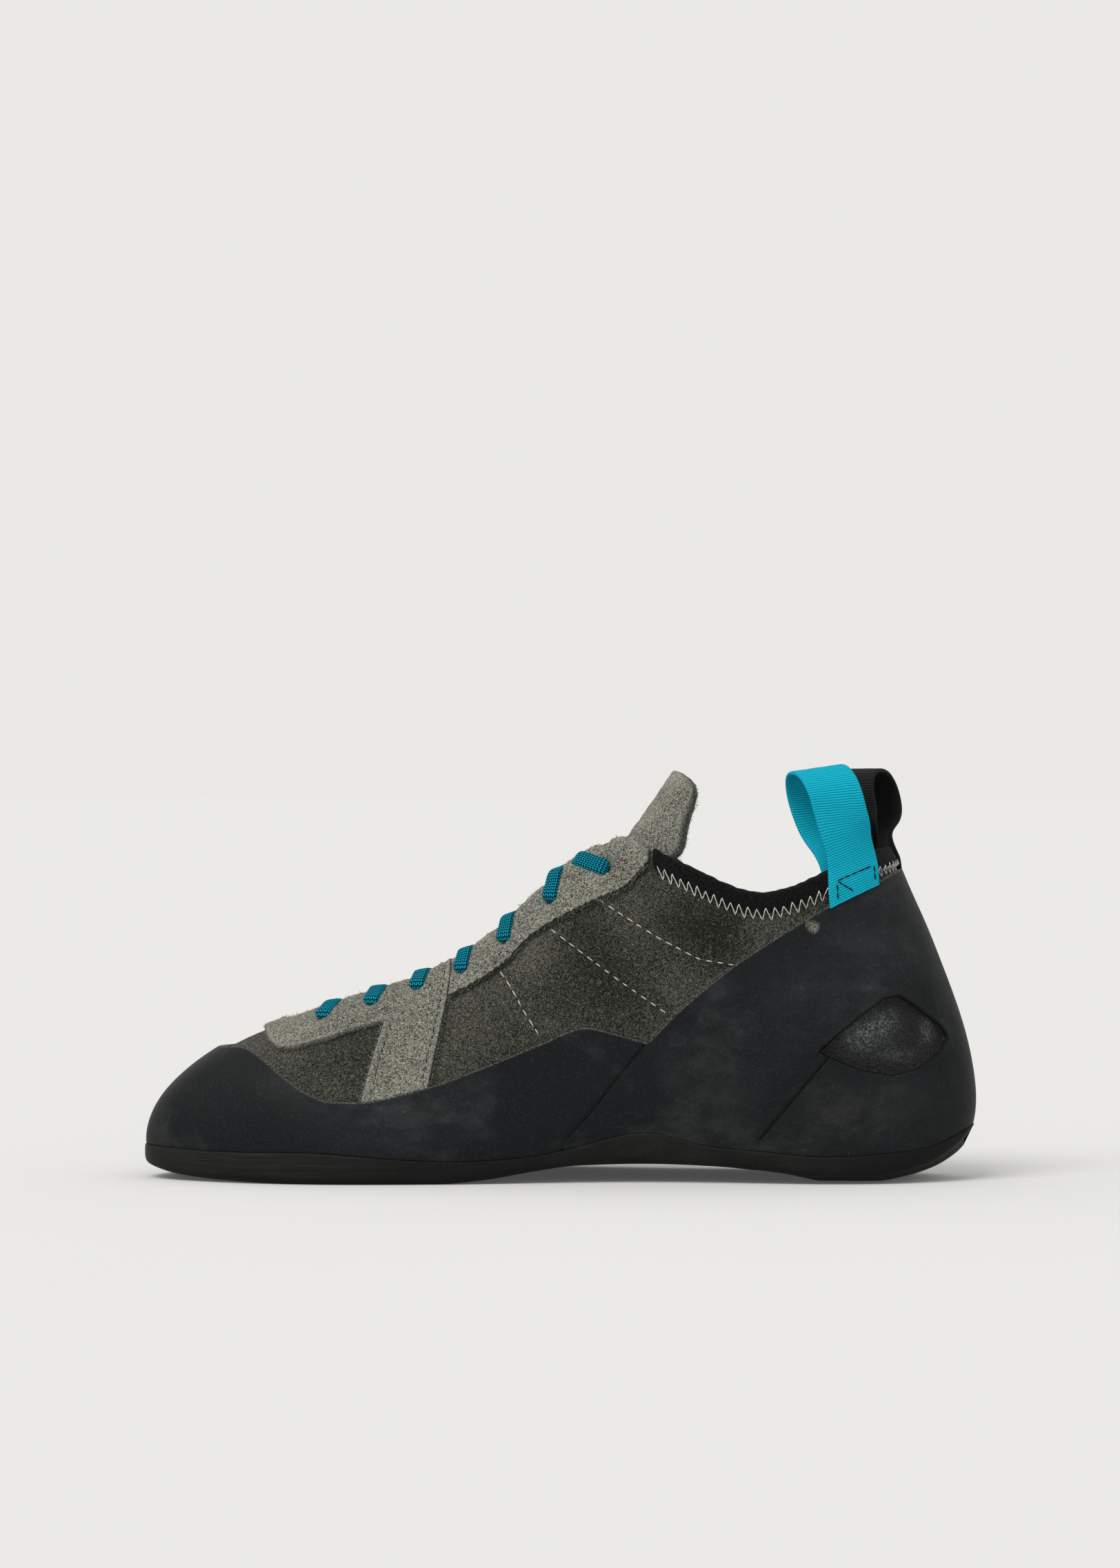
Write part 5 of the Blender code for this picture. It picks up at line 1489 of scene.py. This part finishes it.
def build_stay_seams():
    """Dark dashes near the edges of the straps and faint ones where the seams go on over the eyestay."""
    faint = [stitch_rows(*side_stitches(seam, side, 2.7, 1.7), STAY_HIGH - 0.1, 0.12)
             for side in (1, -1) for seam in STAY_SEAMS]
    ribs = np.linspace(-STRAP_FRONT_RIB, STRAP_FRONT_RIB, 400)
    climb, run = arc_lengths(ribs, climb_to(EYESTAY_LINE, ribs), np.ones_like(ribs), 60)
    inset = climb_at(climb, run, np.full((len(ribs), 1), 2.2))[:, 0]
    ends = even_dashes(on_last(ribs, inset), ribs, inset, 2.5, 1.4, 3.0)
    faint.append(stitch_rows(*ends, STAY_HIGH - 0.12, 0.1))
    add_threads("eyestay_stitches", faint, 0.15, GREY_THREAD)
    lines = []
    for side in (1, -1):
        for rib, inward, most in ((STRAP_FRONT_RIB, 1, 0.6), (STRAP_BACK_RIB, -1, 0.93)):
            foot = climb_to(TOE_RAND_LINE, np.array([side * rib]))[0]
            climb = np.linspace(foot + 0.03, most, 200)
            edge = on_last(side * rib + 0 * climb, climb)
            wide = np.linalg.norm(on_last(side * (rib + 0.1) + 0 * climb, climb) - edge, axis=-1) / 0.1
            ends = even_dashes(edge, side * (rib + inward * STRAP_SEAM / wide), climb, 2.6, 1.6, 2.0)
            stay = climb_to(EYESTAY_LINE, ends[0].ravel()).reshape(ends[0].shape)
            over = STRAP_EXTRA * (ends[1].mean(axis=1) > stay.mean(axis=1))[:, None]
            lines.append(stitch_rows(*ends, STAY_HIGH - 0.3 + over, 0.12))
    add_threads("stay_stitches", lines, 0.17, DARK_THREAD)


# Stitched box of a pull loop: its two sides across the webbing and its lower and upper edge along it,
# in mm, and the four lines that are sewn
BOX_LEFT = -6.0
BOX_RIGHT = 6.7
BOX_LOW = 1.4
BOX_HIGH = 7.0
BOX_LINES = [
    [(BOX_LEFT, BOX_LOW), (BOX_LEFT, BOX_HIGH)], [(BOX_LEFT, BOX_HIGH), (BOX_RIGHT, BOX_HIGH)],
    [(BOX_RIGHT, BOX_HIGH), (BOX_RIGHT, BOX_LOW)], [(BOX_LEFT, BOX_HIGH), (BOX_LEFT + 5.6, BOX_LOW)]]


def build_box_stitch(side, look):
    """Stitched box and slanted line at the foot of a pull loop, sewn through its outer leg."""
    grid = loop_grid(rows=500, **LOOPS[side])
    face = grid - (WEB_THICK / 2 + 0.06) * grid_normal(grid)
    run = run_along(grid[:, LOOP_MIDDLE])
    lines = []
    for line in BOX_LINES:
        ends = dashes(line, 2.2, 2.2)
        at = blend(ends[:, :1], ends[:, 1:], np.linspace(0, 1, 5)[None, :, None])
        row = np.interp(at[..., 1], run, np.arange(len(run)))
        column = np.interp(at[..., 0] / LOOP_WIDTH, LOOP_ACROSS, np.arange(len(LOOP_ACROSS)))
        i, j = row.astype(int), column.astype(int)
        u, v = (row - i)[..., None], (column - j)[..., None]
        below, above = [blend(face[k, j], face[k, j + 1], v) for k in (i, i + 1)]
        lines.append(blend(below, above, u))
    add_threads("box_stitch_%s" % side, lines, 0.24, look)


def hairs(roots, ways, length, droop=0.3):
    """Lines of short bent hairs that grow from roots along ways, with random lengths and turns."""
    count = len(roots)
    ways = unit(ways + 0.75 * rng.standard_normal((count, 3)))
    size = length * (0.35 + rng.random(count) ** 2)[:, None, None]
    t = np.linspace(0, 1, 4)[None, :, None]
    bend = rng.standard_normal((count, 1, 3)) * droop
    return roots[:, None] + size * (ways[:, None] * t + bend * t * t)


def edge_hairs(ribs, climb, height, way, length):
    """Hairs at places on the last that lean by way, up or down the rib, from the surface."""
    step = unit(on_last(ribs, climb + 0.01) - on_last(ribs, climb - 0.01))
    return hairs(skin(ribs, climb, height), way * step + 0.6 * last_normal(ribs, climb), length)


# Numbers of hairs along the eyestay's lower and throat edge, each strap edge, the tongue, the heel's
# and the toe's rubber, and the tongue's rows where they start and where its end begins
STAY_HAIRS = 1500
THROAT_HAIRS = 900
STRAP_HAIRS = 260
TONGUE_HAIRS = 700
HEEL_LINT = 420
TOE_LINT = 700
TONGUE_FREE_ROW = 150
TONGUE_END_ROW = 226


def build_fibres():
    """Frayed fibres on the cut suede edges and lint along the rubber's upper edges."""
    ribs = rng.uniform(-EYESTAY_END_RIB, EYESTAY_END_RIB, STAY_HAIRS)
    low = np.minimum(climb_to(EYESTAY_LINE, ribs), STAY_MOST)
    lines = [edge_hairs(ribs, low, 0.3 + 1.4 * rng.random(len(ribs)), -1.0, 0.9)]
    ribs = rng.uniform(-EYESTAY_END_RIB, EYESTAY_END_RIB, THROAT_HAIRS)
    lines.append(edge_hairs(ribs, climb_below_edge(ribs, 0.4 + scallop(ribs)), 1.7, 0.8, 0.8))
    for side in (1, -1):
        for rib, away in ((STRAP_FRONT_RIB, -1), (STRAP_BACK_RIB, 1)):
            foot = climb_to(TOE_RAND_LINE, np.array([side * rib]))[0]
            climb = rng.uniform(foot, 0.9, STRAP_HAIRS)
            ribs = side * rib + 0 * climb
            roots = skin(ribs, climb, 0.4 + 1.3 * rng.random(len(climb)))
            aside = unit(on_last(ribs + 0.05, climb) - on_last(ribs, climb))
            lines.append(hairs(roots, side * away * aside + 0.4 * UP, 0.9))
    grid = tongue_grid() - TONGUE_THICK / 2 * UP
    width = grid.shape[1]
    rows = rng.integers(TONGUE_FREE_ROW, TONGUE_ROWS, TONGUE_HAIRS)
    columns = np.where(rng.random(TONGUE_HAIRS) < 0.5, 0, width - 1)
    columns = np.where(rows > TONGUE_END_ROW, rng.integers(0, width, TONGUE_HAIRS), columns)
    ways = unit(grid[rows, columns] - grid[rows, width // 2])
    lines.append(hairs(grid[rows, columns], ways + 0.3 * UP, 1.0))
    add_threads("suede_fibres", lines, 0.055, PALE_FIBRE, 3)
    ribs = rng.uniform(RAND_TIP_RIB, HEEL_AT - 2.2, HEEL_LINT)
    ribs = np.concatenate([ribs, -ribs])
    lint = [edge_hairs(ribs, heel_top(ribs) + 0.004, 0.3 + 1.2 * rng.random(len(ribs)), 0.4, 0.8)]
    ribs = rng.uniform(-RAND_TIP_RIB, RAND_TIP_RIB, TOE_LINT)
    high = climb_to(TOE_RAND_LINE, ribs) + 0.006
    lint.append(edge_hairs(ribs, high, 0.2 + rng.random(len(ribs)), 0.4, 0.6))
    add_threads("rubber_lint", lint, 0.05, PALE_FIBRE, 3)


build_upper()
build_outsole()
build_insole()
build_toe_rand()
build_heel_rand()
build_eyestay()
build_strap(1, "strap_medial")
build_strap(-1, "strap_lateral")
build_tongue()
build_binding()
build_loop("medial", BLUE_WEB, "web_blue")
build_loop("lateral", BLACK_WEB, "web_black")
LACE_NODES = ["lace_cross_%d" % k for k in range(1, 7)]
build_lace(1, "lace_first", LACE_NODES)
build_lace(-1, "lace_second", LACE_NODES)
build_seams()
build_stay_seams()
build_box_stitch("medial", DARK_THREAD)
build_box_stitch("lateral", DARK_THREAD)
build_fibres()

# Light of the floor itself, which keeps its shadows pale, how far the floor runs in metres, and the
# height of the camera's sensor in mm
FLOOR_GLOW = 0.1
FLOOR_REACH = 40.0
SENSOR = 36.0


def stage_look():
    """Pale paper, very faintly uneven."""
    look, place = new_look("pale_paper", 0.95, 0.0, 0.0, **{"Emission Strength": FLOOR_GLOW})
    colour = place.noise(3.0, 2.0, 0.5).mix((0.612, 0.612, 0.61, 1), (0.621, 0.621, 0.619, 1))
    tree = look.node_tree
    for socket in ("Base Color", "Emission Color"):
        tree.links.new(colour.socket, tree.nodes["Principled BSDF"].inputs[socket])
    return look


def build_stage():
    """Plain floor, a flat sheet that runs far past the view on every side."""
    corners = [(x * FLOOR_REACH, y * FLOOR_REACH, 0) for x, y in ((-1, -1), (1, -1), (1, 1), (-1, 1))]
    mesh = bpy.data.meshes.new("floor")
    mesh.from_pydata(corners, [], [(0, 1, 2, 3)])
    mesh.materials.append(stage_look())
    floor = bpy.data.objects.new("floor", mesh)
    bpy.context.scene.collection.objects.link(floor)


def add_sun(name, source, strength, spread, colour):
    """Far soft light that shines from a direction; spread is its angle in degrees."""
    data = bpy.data.lights.new(name, "SUN")
    data.energy = strength
    data.angle = np.radians(spread)
    data.color = colour
    light = bpy.data.objects.new(name, data)
    light.rotation_euler = Vector(source).to_track_quat("Z", "Y").to_euler()
    bpy.context.scene.collection.objects.link(light)


def add_camera():
    """Camera at the photo's angle: level, turned towards the heel, no shift."""
    data = bpy.data.cameras.new("camera")
    data.sensor_fit = "VERTICAL"
    data.sensor_height = SENSOR
    data.lens = SENSOR * VIEW_AWAY / VIEW_HEIGHT
    turn, rise = np.radians(VIEW_TURN), np.radians(VIEW_RISE)
    back = Vector((np.sin(turn) * np.cos(rise), -np.cos(turn) * np.cos(rise), np.sin(rise)))
    camera = bpy.data.objects.new("camera", data)
    camera.location = Vector(VIEW_AIM) + VIEW_AWAY * back
    camera.rotation_euler = back.to_track_quat("Z", "Y").to_euler()
    bpy.context.scene.collection.objects.link(camera)
    bpy.context.scene.camera = camera


build_stage()
add_sun("key", (-0.4, -0.62, 0.95), 1.7, 34.0, (1.0, 0.99, 0.955))
add_camera()

world = bpy.data.worlds.new("studio")
world.use_nodes = True
world.node_tree.nodes["Background"].inputs["Color"].default_value = (0.819, 0.811, 0.780, 1)
bpy.context.scene.world = world
bpy.context.scene.view_settings.view_transform = "Standard"
